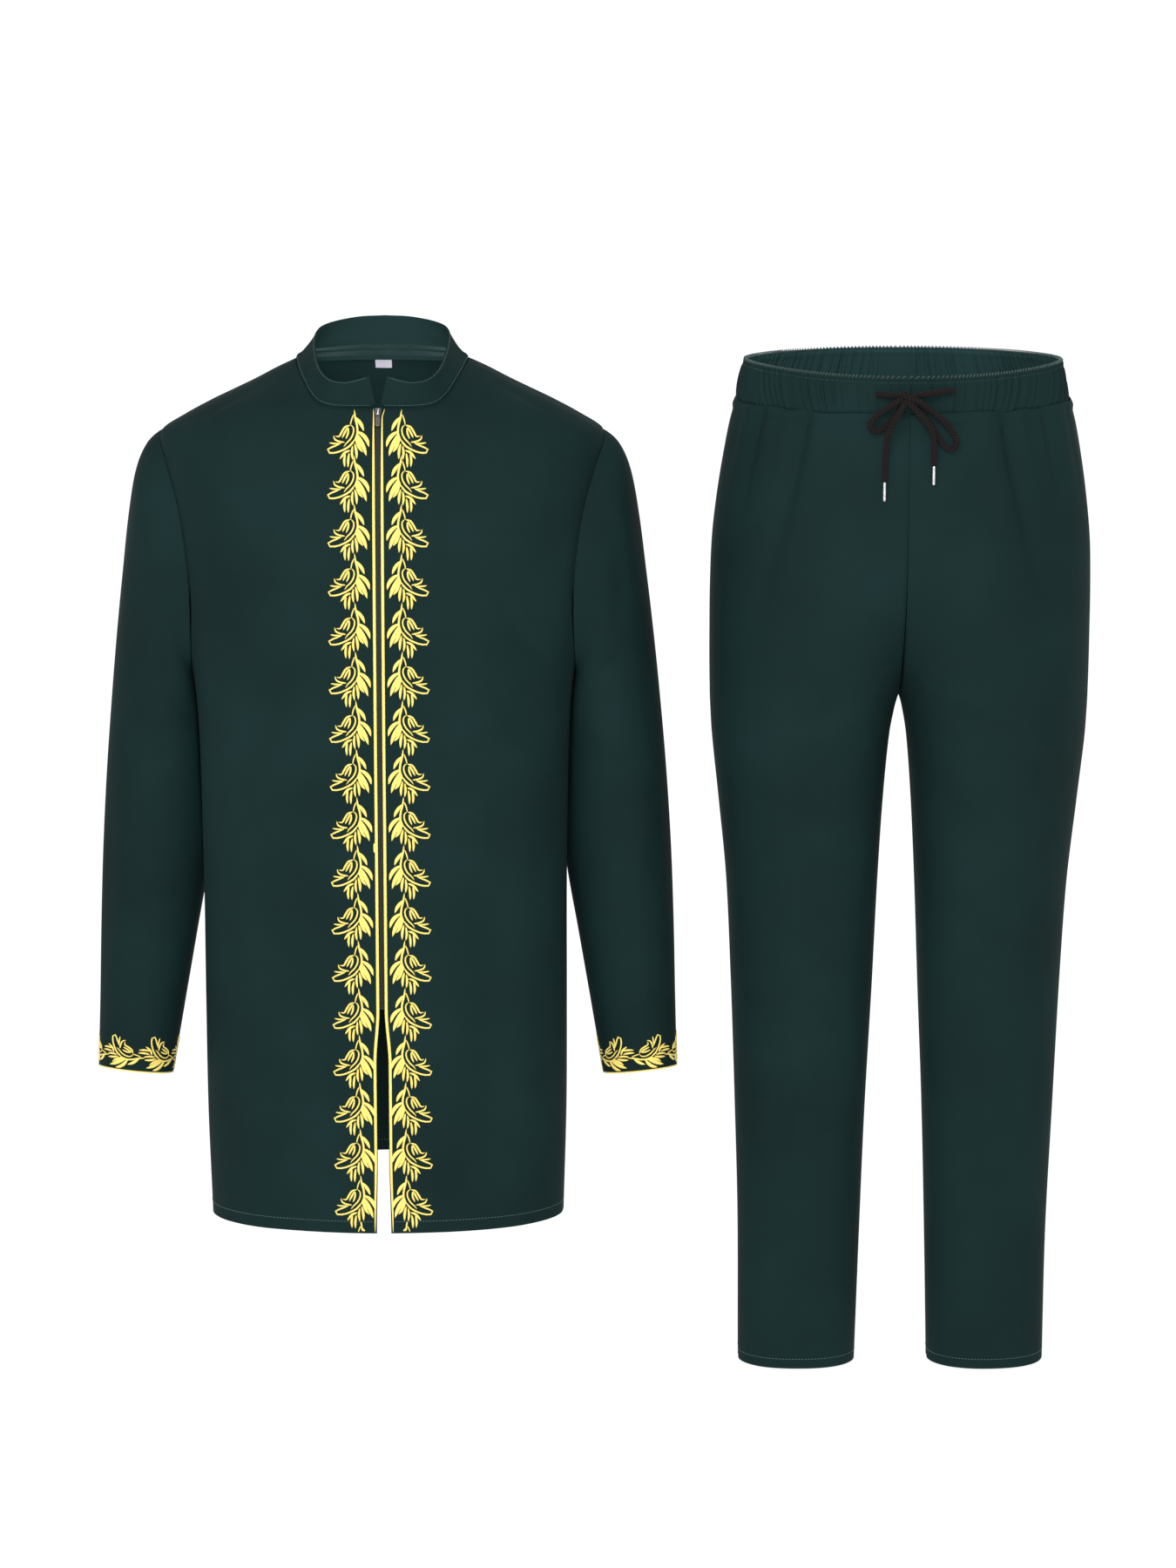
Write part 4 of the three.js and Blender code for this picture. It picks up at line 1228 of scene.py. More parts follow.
@dataclass
class Cut:
    """The flat size that a piece was cut to, in metres and square metres."""

    width: float
    length: float
    area: float

    def declare(
        self, obj: bpy.types.Object, held: str, rests_on: Sequence[str], pieces: Sequence[bpy.types.Object]
    ) -> None:
        """Does nothing: its body is empty, so the cut of a sheet of cloth is not stated.

        Args:
            obj: The cloth. Not used.
            held: How it is held. Not used.
            rests_on: What it hangs from. Not used.
            pieces: The separate pieces on it. Not used.
        """


@dataclass
class Kurta:
    """The kurta's cloth, its zip and its label."""

    torso: Torso = field(default_factory=Torso)
    panels: Panels = field(init=False)
    cuts: dict[str, Cut] = field(default_factory=lambda: {
        "front": Cut(0.258, 0.838, 0.194),
        "back": Cut(0.505, 0.857, 0.408),
        "sleeve": Cut(0.4, 0.66, 0.172),
        "collar": Cut(0.45, 0.055, 0.018),
    })
    front_rows: int = 172
    front_columns: int = 64
    hem_stitch: float = 12.0
    collar_thickness: float = 1.8
    collar_waist: float = 3.0
    collar_top: Sequence[Place] = (
        (8.5, -86, -10), (20, -86.5, -13.5), (33, -84, -16), (46, -77, -14.5), (55, -65, -9), (61, -47, -1),
        (64.5, -25, 9), (66, 0, 18), (65, 25, 25), (59, 47, 29), (45, 62, 32.5), (24, 69.5, 35.5),
        (0, 71, 36.5),
    )
    label_middle: float = -2.0
    label_width: float = 16.5
    label_top: float = -5.5
    label_height: float = 8.5

    def __post_init__(self) -> None:
        """Cuts the panels from the torso."""
        self.panels = Panels(self.torso)

    def _rows(self) -> Array:
        """The row values of a front or back, fine at the shoulder seam."""
        last = self.panels.arm_rows + self.panels.body_rows
        even = np.linspace(0.0, last, self.front_rows)
        return np.unique(np.concatenate([even, (0.02, 0.05, 0.1, 0.16, 0.24)]))

    def _hem_stitches(self, face: Face, sign: int, parts: MeshParts) -> None:
        """Adds the stitches along half of a hem.

        Args:
            face: The front or the back.
            sign: The sign of X.
            parts: The mesh that they are added to.
        """
        panels = self.panels
        last = panels.arm_rows + panels.body_rows
        row = last - panels.body_rows * self.hem_stitch / (UNDERARM_Z - HEM_Z)
        points, normals = panels.half(face, np.array((row,)), np.linspace(0.02, 0.99, 160), sign)
        Stitching().add(parts, points[0], normals[0])
        if face is Face.BACK:
            Stitching().add(parts, points[0] - CLOTH * normals[0], -normals[0])

    def fronts(self, wardrobe: Wardrobe, on_front: dict[Hand, list]) -> None:
        """Makes both fronts.

        Args:
            wardrobe: The suit's materials.
            on_front: The embroidery that lies on each front.
        """
        share = edged(self.front_columns, 0.03)
        for hand in Hand:
            grid = self.panels.half(Face.FRONT, self._rows(), share, hand.value)
            cloth = cloth_wall(f"front_cloth_{hand.word}", grid, wardrobe.crepe, f"front_{hand.word}")
            sewing = MeshParts()
            self._hem_stitches(Face.FRONT, hand.value, sewing)
            stitches = sewing.make(f"front_hem_stitches_{hand.word}", wardrobe.sewing)
            self.cuts["front"].declare(cloth, "hung", ["collar_cloth"], [stitches, *on_front[hand]])

    def back(self, wardrobe: Wardrobe) -> None:
        """Makes the back in one piece."""
        share = edged(self.front_columns, 0.03)
        left, left_normals = self.panels.half(Face.BACK, self._rows(), share, 1)
        right, right_normals = self.panels.half(Face.BACK, self._rows(), share, -1)
        points = np.concatenate([right[:, :0:-1], left], axis=1)
        normals = np.concatenate([right_normals[:, :0:-1], left_normals], axis=1)
        cloth = cloth_wall("back_cloth", (points, normals), wardrobe.crepe, "back")
        sewing = MeshParts()
        for sign in (1, -1):
            self._hem_stitches(Face.BACK, sign, sewing)
        stitches = sewing.make("back_hem_stitches", wardrobe.sewing)
        self.cuts["back"].declare(cloth, "hung", ["collar_cloth"], [stitches])

    def _collar_grid(self, up: Array, share: Array) -> Array:
        """Points of the collar's outer face on the left.

        Args:
            up: Heights from 0 at the seam to 1 at the top edge.
            share: Places from 0 at the front opening to 1 at the centre of the back.

        Returns:
            Rows and columns of points.
        """
        front = self.panels.neck_line(Face.FRONT, 120)
        back = self.panels.neck_line(Face.BACK, 120)[::-1]
        seam = np.vstack([front, back[1:]])
        along = lengths_along(seam) / lengths_along(seam)[-1]
        base = np.stack([np.interp(share, along, seam[:, k]) for k in range(3)], axis=1)
        rim = curve_through(self.collar_top, 300)
        spots = np.linspace(0.0, 1.0, len(rim))
        top = np.stack([np.interp(share, spots, rim[:, k]) for k in range(3)], axis=1)
        waist = (base + top) / 2
        inward = unit(-waist * (1.0, 1.0, 0.0))
        waist = waist + self.collar_waist * np.sin(math.pi * share)[:, None] * inward
        start = mix(base, waist, 0.03)
        u = up[:, None, None]
        return start * (1 - u) ** 2 + waist * 2 * u * (1 - u) + top * u**2

    def _collar_ring(self, up: Array, share: Array) -> tuple[Array, Array]:
        """The whole collar's outer points and normals, with its soft roll and creases.

        Args:
            up: Heights from the seam to the top edge.
            share: Places from the front opening to the centre of the back.

        Returns:
            The points and their normals.
        """
        left = self._collar_grid(up, share)
        right = left[:, ::-1] * (-1.0, 1.0, 1.0)
        points = np.concatenate([left, right[:, 1:]], axis=1)
        normals = grid_normal(points, closed=False)
        outward = points * (1.0, 1.0, 0.0)
        if np.sum(normals * outward) < 0:
            normals = -normals
        side = np.concatenate([share, 2 - share[::-1][1:]])[None, :]
        height = up[:, None]
        seam = -0.9 * np.exp(-((height / 0.05) ** 2)) + 0.9 * np.exp(-(((height - 0.13) / 0.07) ** 2))
        seam = seam - 1.6 * smooth_step(-height, 0.0, 0.05)
        line = 0.52 + 0.1 * np.sin(7.0 * (side - 0.62))
        fold = -1.5 * np.exp(-(((height - line) / 0.14) ** 2)) * smooth_step(side, 0.68, 0.85)
        fold = fold * (1 - smooth_step(side, 1.2, 1.36))
        front = 0.8 * np.exp(-(((height - 0.6) / 0.2) ** 2)) * (np.cos(9 * side) - 0.2)
        points = points + (seam + fold + 0.5 * front)[..., None] * normals
        return points, normals

    def collar(self, wardrobe: Wardrobe) -> None:
        """Makes the stand collar, with the zigzag rows inside its back and pale thread rows along its seams
        that are partly a painted highlight.
        """
        share = np.linspace(0.0, 1.0, 110)
        up = np.concatenate([(-0.075, -0.055, -0.035, -0.015), edged(18, 0.08)])
        ring = self._collar_ring(up, share)
        cloth = cloth_wall("collar_cloth", ring, wardrobe.crepe, "collar", self.collar_thickness)
        zigzag = MeshParts()
        steps, last = 300, 59
        rows, row_normals = self._collar_ring(np.linspace(0.0, 1.0, last + 1), np.linspace(0.66, 1.0, steps))
        columns = np.arange(0, rows.shape[1], 2)
        for middle, swing in ((0.1, 0.055), (0.27, 0.05)):
            height = middle + swing * np.where(columns // 2 % 2 == 0, -1.0, 1.0)
            at = np.clip(height * last, 0, last).astype(int)
            inward = row_normals[at, columns]
            zigzag.tube(rows[at, columns] - (self.collar_thickness + 0.15) * inward, 0.26, 5, inward)
        # Pale thread rows along the collar's base and top edge: partly real topstitching, partly a painted
        # highlight along the seams.
        for height in (0.055, 0.965):
            line, line_normals = self._collar_ring(np.array((0.0, height)), np.linspace(0.01, 1.0, 200))
            Stitching(2.2, 0.5, 0.26).add(zigzag, line[1], line_normals[1])
        stitches = zigzag.make("collar_stitches", wardrobe.sewing)
        self.cuts["collar"].declare(cloth, "hung", [], [stitches])

    def label(self, wardrobe: Wardrobe) -> None:
        """Makes the bare size label inside the back of the neck."""
        x = self.label_middle + self.label_width * (np.linspace(0.0, 1.0, 15) - 0.5)
        z = self.label_top - self.label_height * np.linspace(0.0, 1.0, 10)
        points = self.torso.point(x[None, :], z[:, None], Face.BACK)
        normals = self.torso.normal(points)
        down = (z[:, None] - self.label_top) / self.label_height
        curl = 0.5 * down**2 + 0.15 * np.cos(x[None, :] / 3.0)
        points = points - (CLOTH + SEAM_GAP + 0.2 + curl)[..., None] * normals
        parts = MeshParts()
        parts.shell(points, normals, 0.6, closed=False)
        parts.make("bare_label", wardrobe.label, ["size_label"])

    def zip_trim(self, wardrobe: Wardrobe) -> None:
        """Makes the zip's chain of small teeth, and finishes the tapes, the slider and the pull tab."""
        pitch, wide, tall, deep, sunk = 1.5, 1.7, 0.95, 1.0, 0.45
        parts = MeshParts()
        heights = np.arange(ZIP_TOP_Z - 7.0, ZIP_END_Z + 1.0, -pitch)
        for sign, shift in ((1, 0.0), (-1, pitch / 2)):
            z = heights - shift
            middle = self.torso.point(np.full_like(z, sign * 0.75), z, Face.FRONT)
            normal = self.torso.normal(middle)
            for point, out in zip(middle, normal):
                back = point - (sunk + deep) * out
                front = point - sunk * out
                corners = np.array(((-1, -1), (1, -1), (1, 1), (-1, 1))) * (wide / 2, tall / 2)
                flat = np.stack([corners[:, 0], 0 * corners[:, 0], corners[:, 1]], axis=1)
                rings = np.stack([back + flat, mix(back, front, 0.7) + flat, front + 0.62 * flat])
                parts.grid(rings, np.zeros((3, 5, 2)), closed=True, caps=True)
        z = np.linspace(ZIP_TOP_Z, ZIP_END_Z, 90)
        base = self.torso.point(np.array((-1.9, 0.0, 1.9))[None, :], z[:, None], Face.FRONT)
        normals = self.torso.normal(base)
        parts.shell(base - 1.35 * normals, normals, 0.5, closed=False)
        parts.make("zip_teeth", wardrobe.tape, ["zip_chain"], 30.0)
        finishes = {
            "zip_tape_left": (wardrobe.tape, 0.1), "zip_tape_right": (wardrobe.tape, 0.1),
            "zip_slider": (wardrobe.enamel, 0.22), "zip_tab": (wardrobe.enamel, 0.16),
        }
        tips = {"zip_slider": (wardrobe.nickel, 0.78), "zip_tab": (wardrobe.bronze, 0.72)}
        for node, (material, round_mm) in finishes.items():
            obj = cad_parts[node]
            obj.data.materials.clear()
            obj.data.materials.append(material)
            if node in tips:
                tip, share = tips[node]
                obj.data.materials.append(tip)
                spread = np.array([polygon.center[:] for polygon in obj.data.polygons])
                axis = 1 if node == "zip_slider" else 2
                away = (spread[:, axis].max() - spread[:, axis]) / np.ptp(spread[:, axis])
                for polygon, at in zip(obj.data.polygons, away):
                    polygon.material_index = int(at > share)
            bevel = obj.modifiers.new("rounded_edges", "BEVEL")
            bevel.width = round_mm * MM
            bevel.segments = 2
            bevel.limit_method = "ANGLE"


@dataclass
class Sleeves:
    """The kurta's sleeves, from the armhole to the open cuff."""

    kurta: Kurta
    cuff_tilt: float = 0.15
    cap_reach: float = 3.0
    rows: int = 165
    columns: int = 76
    row_pitch: float = 62.0
    clearance: tuple[float, float] = (0.4, 1.4)
    cap_roll: float = 0.9
    cap_roll_width: float = 5.0
    cap_roll_turns: tuple[float, float] = (100.0, 135.0)
    seam_roll: float = 0.7
    seam_degrees: float = 2.6
    snug_degrees: float = 45.0
    snug_from: tuple[float, float] = (4.0, 30.0)
    snug_to: tuple[float, float] = (250.0, 340.0)
    table: Table = field(default_factory=lambda: Table("k outX outZ inX inZ mid depth", [
        (0, 218, -70, 190, -305, 0, 57),
        (1, 233, -86, 191, -311, 4, 60),
        (2, 244, -112, 190, -319, 8, 61),
        (3, 252.5, -156, 186, -332, 13, 61),
        (4, 260, -212, 181, -352, 18, 60),
        (5, 267.5, -275, 177, -380, 22, 58.5),
        (6, 274.5, -345, 175, -418, 25, 56.5),
        (7, 281, -420, 176, -464, 26, 53.5),
        (8, 286, -495, 181, -515, 25, 50),
        (9, 289, -570, 192, -577, 19, 45.5),
        (10, 290.5, -645, 204.5, -648, 8, 40.5),
        (11, 292, -712, 217, -720, -3, 36),
    ]))
    creases: dict[Hand, Sequence[Crease]] = field(default_factory=lambda: {
        Hand.RIGHT: (
            Crease(-78, 40, -66, 250, 10, -1.9, 13),
            Crease(-52, 90, -38, 330, -8, 1.7, 15),
            Crease(-104, 250, -52, 330, 8, -1.8, 8),
            Crease(-126, 300, -70, 372, -6, 1.6, 9),
            Crease(-112, 372, -40, 404, 7, -1.6, 8),
            Crease(-70, 400, -60, 640, -8, 1.2, 13),
            Crease(-30, 420, -34, 620, 5, -1.1, 12),
            Crease(60, 60, 74, 300, 9, -1.9, 14),
            Crease(48, 320, 112, 372, 6, -1.7, 9),
            Crease(80, 410, 66, 640, -7, 1.5, 14),
            Crease(20, 120, 26, 420, 6, 1.3, 13),
        ),
        Hand.LEFT: (
            Crease(-74, 50, -70, 270, -9, -1.8, 14),
            Crease(-46, 70, -36, 300, 7, 1.7, 14),
            Crease(-110, 262, -58, 318, -7, -1.9, 9),
            Crease(-118, 318, -60, 392, 8, 1.5, 9),
            Crease(-100, 388, -36, 430, -5, -1.6, 9),
            Crease(-64, 440, -72, 650, 7, 1.3, 12),
            Crease(-28, 400, -26, 600, -5, -1.1, 13),
            Crease(64, 50, 70, 280, -8, -1.8, 15),
            Crease(54, 330, 106, 386, -6, -1.7, 9),
            Crease(74, 420, 72, 650, 8, 1.5, 13),
            Crease(18, 140, 30, 400, -7, 1.2, 14),
        ),
    })

    @property
    def last(self) -> int:
        """The number of the cuff's section."""
        return len(self.table.key) - 1

    def plain(self, v: Array, angle: Array) -> Array:
        """Points of the left sleeve's plain form.

        Args:
            v: Section values from 0 at the armhole to last at the cuff.
            angle: 0 outside, a quarter turn at the back and minus a quarter in front.

        Returns:
            The points, for v and angle broadcast together.
        """
        v, angle = np.broadcast_arrays(np.asarray(v, dtype=float), np.asarray(angle, dtype=float))
        torso, panels = self.kurta.torso, self.kurta.panels
        read = self.table.read
        face = np.where(np.sin(angle) < 0, -1, 1)
        seam = panels.armhole(np.arccos(np.cos(angle)), face)
        across = (1 - np.cos(angle)) / 2

        def ring(at: Array) -> Array:
            """Points of a section before the cap and the cuff are shaped."""
            x = mix(read("outX", at), read("inX", at), across)
            y = read("mid", at) + read("depth", at) * np.sin(angle)
            return np.stack([x, y, mix(read("outZ", at), read("inZ", at), across)], axis=-1)

        point = ring(v)
        tilt = self.cuff_tilt * (point[..., 1] - read("mid", v)) * smooth_step(v, self.last - 4, self.last)
        point[..., 2] -= tilt
        point = point + (seam - ring(np.zeros_like(v))) * (1 - smooth_step(v, 0.0, self.cap_reach))[..., None]
        clear = mix(*self.clearance, np.minimum(1.0, v / 2))
        limit = torso.reach(point[..., 1], point[..., 2]) + clear
        point[..., 0] = np.where(v <= 0, point[..., 0], np.maximum(point[..., 0], limit))
        return point

    def cloth(self, v: Array, angle: Array, hand: Hand) -> tuple[Array, Array]:
        """Points and normals of a sleeve's outer face, with its creases.

        Args:
            v: Section values.
            angle: Places round the sleeve.
            hand: The sleeve's side.

        Returns:
            The points and their outward normals.
        """
        v, angle = np.broadcast_arrays(np.asarray(v, dtype=float), np.asarray(angle, dtype=float))
        points = self.plain(v, angle)
        h = 0.05
        around = self.plain(v, angle + h) - self.plain(v, angle - h)
        along = self.plain(np.minimum(v + h, self.last), angle) - self.plain(np.maximum(v - h, 0.01), angle)
        normals = unit(np.cross(along, around))
        degrees = np.degrees(np.arctan2(np.sin(angle), np.cos(angle)))
        aside = np.abs(degrees)
        distance = v * self.row_pitch
        free = smooth_step(distance, 0.0, 30.0) * (1 - 0.7 * smooth_step(aside, 125.0, 160.0))
        lift = relief(self.creases[hand], degrees, distance) * free
        snug = np.exp(-(((180 - aside) / self.snug_degrees) ** 2)) * smooth_step(distance, *self.snug_from)
        snug = snug * (1 - smooth_step(distance, *self.snug_to))
        cap = self.cap_roll * np.exp(-((distance / self.cap_roll_width) ** 2))
        lift = lift - cap * (1 - smooth_step(aside, *self.cap_roll_turns))
        lift = lift - self.seam_roll * np.exp(-(((180 - aside) / self.seam_degrees) ** 2))
        points = points + lift[..., None] * normals
        body_side = self.kurta.torso.reach(points[..., 1], points[..., 2]) + SEAM_GAP
        points[..., 0] = mix(points[..., 0], np.minimum(points[..., 0], body_side), snug)
        flip = np.array((hand.value, 1.0, 1.0))
        return points * flip, normals * flip

    def build(self, wardrobe: Wardrobe, on_sleeve: dict[Hand, list]) -> None:
        """Makes both sleeves.

        Args:
            wardrobe: The suit's materials.
            on_sleeve: The embroidery that lies on each sleeve.
        """
        near = np.array((0.03, 0.07, 0.12, 0.18))
        v = np.unique(np.concatenate([np.linspace(0.006, self.last, self.rows), near]))
        angle = np.linspace(0.0, 2 * math.pi, self.columns, endpoint=False)
        for hand in Hand:
            grid = self.cloth(v[:, None], angle[None, :], hand)
            node = f"sleeve_{hand.word}"
            cloth = cloth_wall(f"sleeve_cloth_{hand.word}", grid, wardrobe.crepe, node, closed=True)
            hangs_from = [f"front_cloth_{hand.word}", "back_cloth"]
            self.kurta.cuts["sleeve"].declare(cloth, "hung", hangs_from, on_sleeve[hand])


# Embroidery


Placing = Callable[[Array, Array], tuple[Array, Array]]


@dataclass(frozen=True)
class Stroke:
    """A satin-stitched stroke of a motif.

    Its points are out from the stem and up, and its widths are given at its start, its middle and its end.
    """

    points: Sequence[tuple[float, float]]
    start: float
    middle: float
    end: float
    height: float = 0.85

    def line(self, samples: int) -> tuple[Array, Array]:
        """The middle line and the width along it."""
        t = np.linspace(0.0, 1.0, samples)
        belly = np.sin(math.pi * t) ** 0.9
        width = mix(mix(self.start, self.end, t), self.middle, belly)
        return curve_through(self.points, samples), 0.86 * width


MOTIF = (
    Stroke(((0, 2), (-1, -6), (-3, -14), (-3.2, -21), (-0.5, -28)), 1.3, 2.6, 3.4),
    Stroke(((-1, -25.5), (3, -31.5), (11, -36.5), (19, -39), (24.8, -38.5), (25.2, -35.5), (19.5, -33),
            (14, -30.5), (10.5, -28)), 3.2, 2.2, 1.6),
    Stroke(((3.5, -12.5), (0.8, -15), (0.6, -20), (3.5, -26), (7.5, -30), (10, -33.5)), 1.6, 2.0, 1.2),
    Stroke(((0.5, -3), (2.5, -8), (3.6, -13)), 1.2, 1.7, 1.5),
    Stroke(((3.6, -13), (8.5, -14.5), (12, -19.5), (14.5, -23.5), (18.5, -23)), 2.0, 2.5, 1.0),
    Stroke(((6, -14.5), (9, -20), (11.5, -25)), 1.7, 2.5, 1.0),
    Stroke(((5.4, -15), (5.8, -20.5), (8, -26)), 1.6, 2.4, 1.0),
    Stroke(((-0.8, -5), (-4.5, -9), (-7.5, -13.5), (-9.5, -18.5)), 0.9, 4.4, 0.9),
    Stroke(((-2.8, -18.5), (-8.5, -22), (-12.5, -27), (-14.5, -33.5)), 2.2, 5.0, 0.9),
    Stroke(((-2.6, -20.5), (-6.5, -28), (-9.8, -35), (-12, -42)), 2.2, 5.4, 0.9),
    Stroke(((-1.8, -23), (-3.2, -29), (-5.5, -34.5), (-8.5, -38.5)), 2.0, 4.2, 0.9),
    Stroke(((-0.6, -30), (-2.2, -37), (-2.6, -45)), 1.4, 3.4, 1.0),
    Stroke(((1.2, -32), (2, -39), (1, -46)), 1.4, 3.0, 1.0),
    Stroke(((3.4, -36.5), (8.5, -38.6), (13.8, -45)), 1.8, 3.1, 0.9),
    Stroke(((8.4, -39.5), (9.4, -46), (9, -52.5)), 1.5, 3.0, 1.0),
    Stroke(((4.6, -39), (5.6, -46), (5.7, -53)), 1.5, 3.0, 1.0),
    Stroke(((8.8, -29), (15, -28), (18.6, -26), (19.8, -22.2)), 1.6, 2.3, 1.0),
    Stroke(((14, -30), (19, -30.2), (24, -29.4)), 1.4, 2.1, 1.0),
)


@dataclass
class Embroidery:
    """The gold motifs and lines on the fronts and the cuffs."""

    kurta: Kurta
    sleeves: Sleeves
    stem_x: float = 22.8
    first_top: float = -43.5
    pitch: float = 47.6
    pitch_loss: float = 6.5
    motifs: int = 18
    hem_margin: float = 1.5
    line_inset: float = 1.8
    line_width: float = 3.1
    cuff_scale: float = 0.85
    cuff_motifs: int = 6
    cuff_stem: float = 14.5
    cuff_phase: float = 68.0
    samples: int = 13
    across: Sequence[float] = (-1.0, -0.62, 0.0, 0.62, 1.0)

    def ribbon(self, parts: MeshParts, line: Array, width: Array, height: float, place: Placing) -> None:
        """Adds a raised ribbon of stitches with rounded ends on a surface.

        Args:
            parts: The mesh that it is added to.
            line: The ribbon's middle line, in the surface's own two directions.
            width: Its width along the line.
            height: How far its middle stands above the cloth.
            place: Turns the two directions into points and normals of the cloth.
        """
        t = np.linspace(-1.0, 1.0, len(line))
        ends = np.sqrt(np.maximum(1 - np.abs(t) ** 7, 0.0)) * 0.93 + 0.07
        tangent = unit(np.gradient(line, axis=0))
        sideways = np.stack([-tangent[:, 1], tangent[:, 0]], axis=1)
        across = np.asarray(self.across)
        flat = line[:, None] + (across[None, :] * (width * ends / 2)[:, None])[..., None] * sideways[:, None]
        points, normals = place(flat[..., 0], flat[..., 1])
        crown = height * np.sqrt(np.maximum(1 - across**2, 0.0))[None, :] * (0.35 + 0.65 * ends)[:, None]
        points = points + (crown - 0.18)[..., None] * normals
        along = lengths_along(line)
        reach = np.concatenate([across, [1.2]])[None, :] * (width / 2)[:, None]
        uv = np.stack([np.broadcast_to(along[:, None], reach.shape), reach], axis=-1)
        parts.grid(points, uv, closed=True, caps=True)

    def _on_front(self, hand: Hand, stem: float, top: float) -> Placing:
        """The place of points on a front, from a stem's distance to the zip and from a height."""

        def place(out: Array, up: Array) -> tuple[Array, Array]:
            """Points and normals of the front there."""
            return self.kurta.panels.front_cloth(hand.value * (stem + out), top + up)

        return place

    def _round_the_cuff(self, hand: Hand, top: float) -> Placing:
        """The place of a motif's points on a cuff, where it lies on its side."""
        turns = np.linspace(-math.pi, 3 * math.pi, 721)
        ring = self.sleeves.plain(np.full_like(turns, self.sleeves.last), -turns)
        along = lengths_along(ring)
        along = along - np.interp(0.0, turns, along)
        drop, least = 71.0, 0.6

        def place(out: Array, up: Array) -> tuple[Array, Array]:
            """Points and normals of the sleeve there."""
            turn = np.interp(top + self.cuff_scale * up, along, turns)
            height = self.cuff_stem + self.cuff_scale * out
            v = self.sleeves.last - np.maximum(height, least) / drop
            return self.sleeves.cloth(v, -turn, hand)

        return place

    def fronts(self, hand: Hand, gold: bpy.types.Material) -> list[bpy.types.Object]:
        """Makes a front's motifs and its edge line.

        Args:
            hand: The front's side.
            gold: The thread.

        Returns:
            The two pieces.
        """
        parts = MeshParts()
        number = np.arange(self.motifs)
        gaps = self.pitch - self.pitch_loss * np.exp(-((number / 1.6) ** 2))
        for top in self.first_top - np.cumsum(gaps) + gaps[0]:
            place = self._on_front(hand, self.stem_x, top)
            for stroke in MOTIF:
                line, width = stroke.line(self.samples)
                keep = top + line[:, 1] > HEM_Z + self.hem_margin
                if np.count_nonzero(keep) < 4:
                    continue
                if not keep.all():
                    line, width = resample(line[keep], self.samples), width[keep].mean() + 0.0 * width
                self.ribbon(parts, line, width, stroke.height, place)
        flowers = parts.make(f"front_motifs_{hand.word}", gold, sharp_degrees=70.0)
        edge = MeshParts()
        z = np.linspace(-41.0, HEM_Z + 1.0, 420)
        flare = 2.2 * (1 - smooth_step(-z, 41.0, 50.0)) * (1.0 if hand is Hand.LEFT else 0.15)
        x = self.kurta.panels.front_edge(z) + self.line_inset + flare
        line = np.stack([x, z], axis=1)
        place = self._on_front(hand, 0.0, 0.0)
        self.ribbon(edge, line, np.full(len(z), self.line_width), 0.9, place)
        if hand is Hand.RIGHT:
            join = np.stack([np.full(8, self.line_inset + 4.1), np.linspace(-462.0, -472.0, 8)], axis=1)
            self.ribbon(edge, join, np.full(8, 2.4), 1.3, place)
        border = edge.make(f"zip_border_{hand.word}", gold, sharp_degrees=70.0)
        return [flowers, border]

    def cuffs(self, hand: Hand, gold: bpy.types.Material) -> list[bpy.types.Object]:
        """Makes a cuff's motifs and the thread line at its edge.

        Args:
            hand: The cuff's side.
            gold: The thread.

        Returns:
            The two pieces.
        """
        sleeves = self.sleeves
        turns = np.linspace(0.0, 2 * math.pi, 200)
        ring = sleeves.plain(np.full_like(turns, sleeves.last), turns)
        pitch = lengths_along(ring)[-1] / self.cuff_motifs
        parts = MeshParts()
        for number in range(self.cuff_motifs):
            place = self._round_the_cuff(hand, self.cuff_phase + (number - 1) * pitch)
            for stroke in MOTIF:
                line, width = stroke.line(self.samples)
                self.ribbon(parts, line, width, stroke.height, place)
        flowers = parts.make(f"cuff_motifs_{hand.word}", gold, sharp_degrees=70.0)
        points, normals = sleeves.cloth(np.full_like(turns, sleeves.last), turns, hand)
        rim = MeshParts()
        rim.tube(points - 0.25 * normals + (0.0, 0.0, 0.2), 0.75, 8, normals, closed=True)
        edge = rim.make(f"cuff_edge_{hand.word}", gold)
        return [flowers, edge]


# Trousers


@dataclass(frozen=True)
class Pleat:
    """A soft pleat that hangs from the waist seam, at a turn in degrees from the side seam."""

    hand: Hand
    face: Face
    turn: float
    depth: float
    width: float
    fall: float


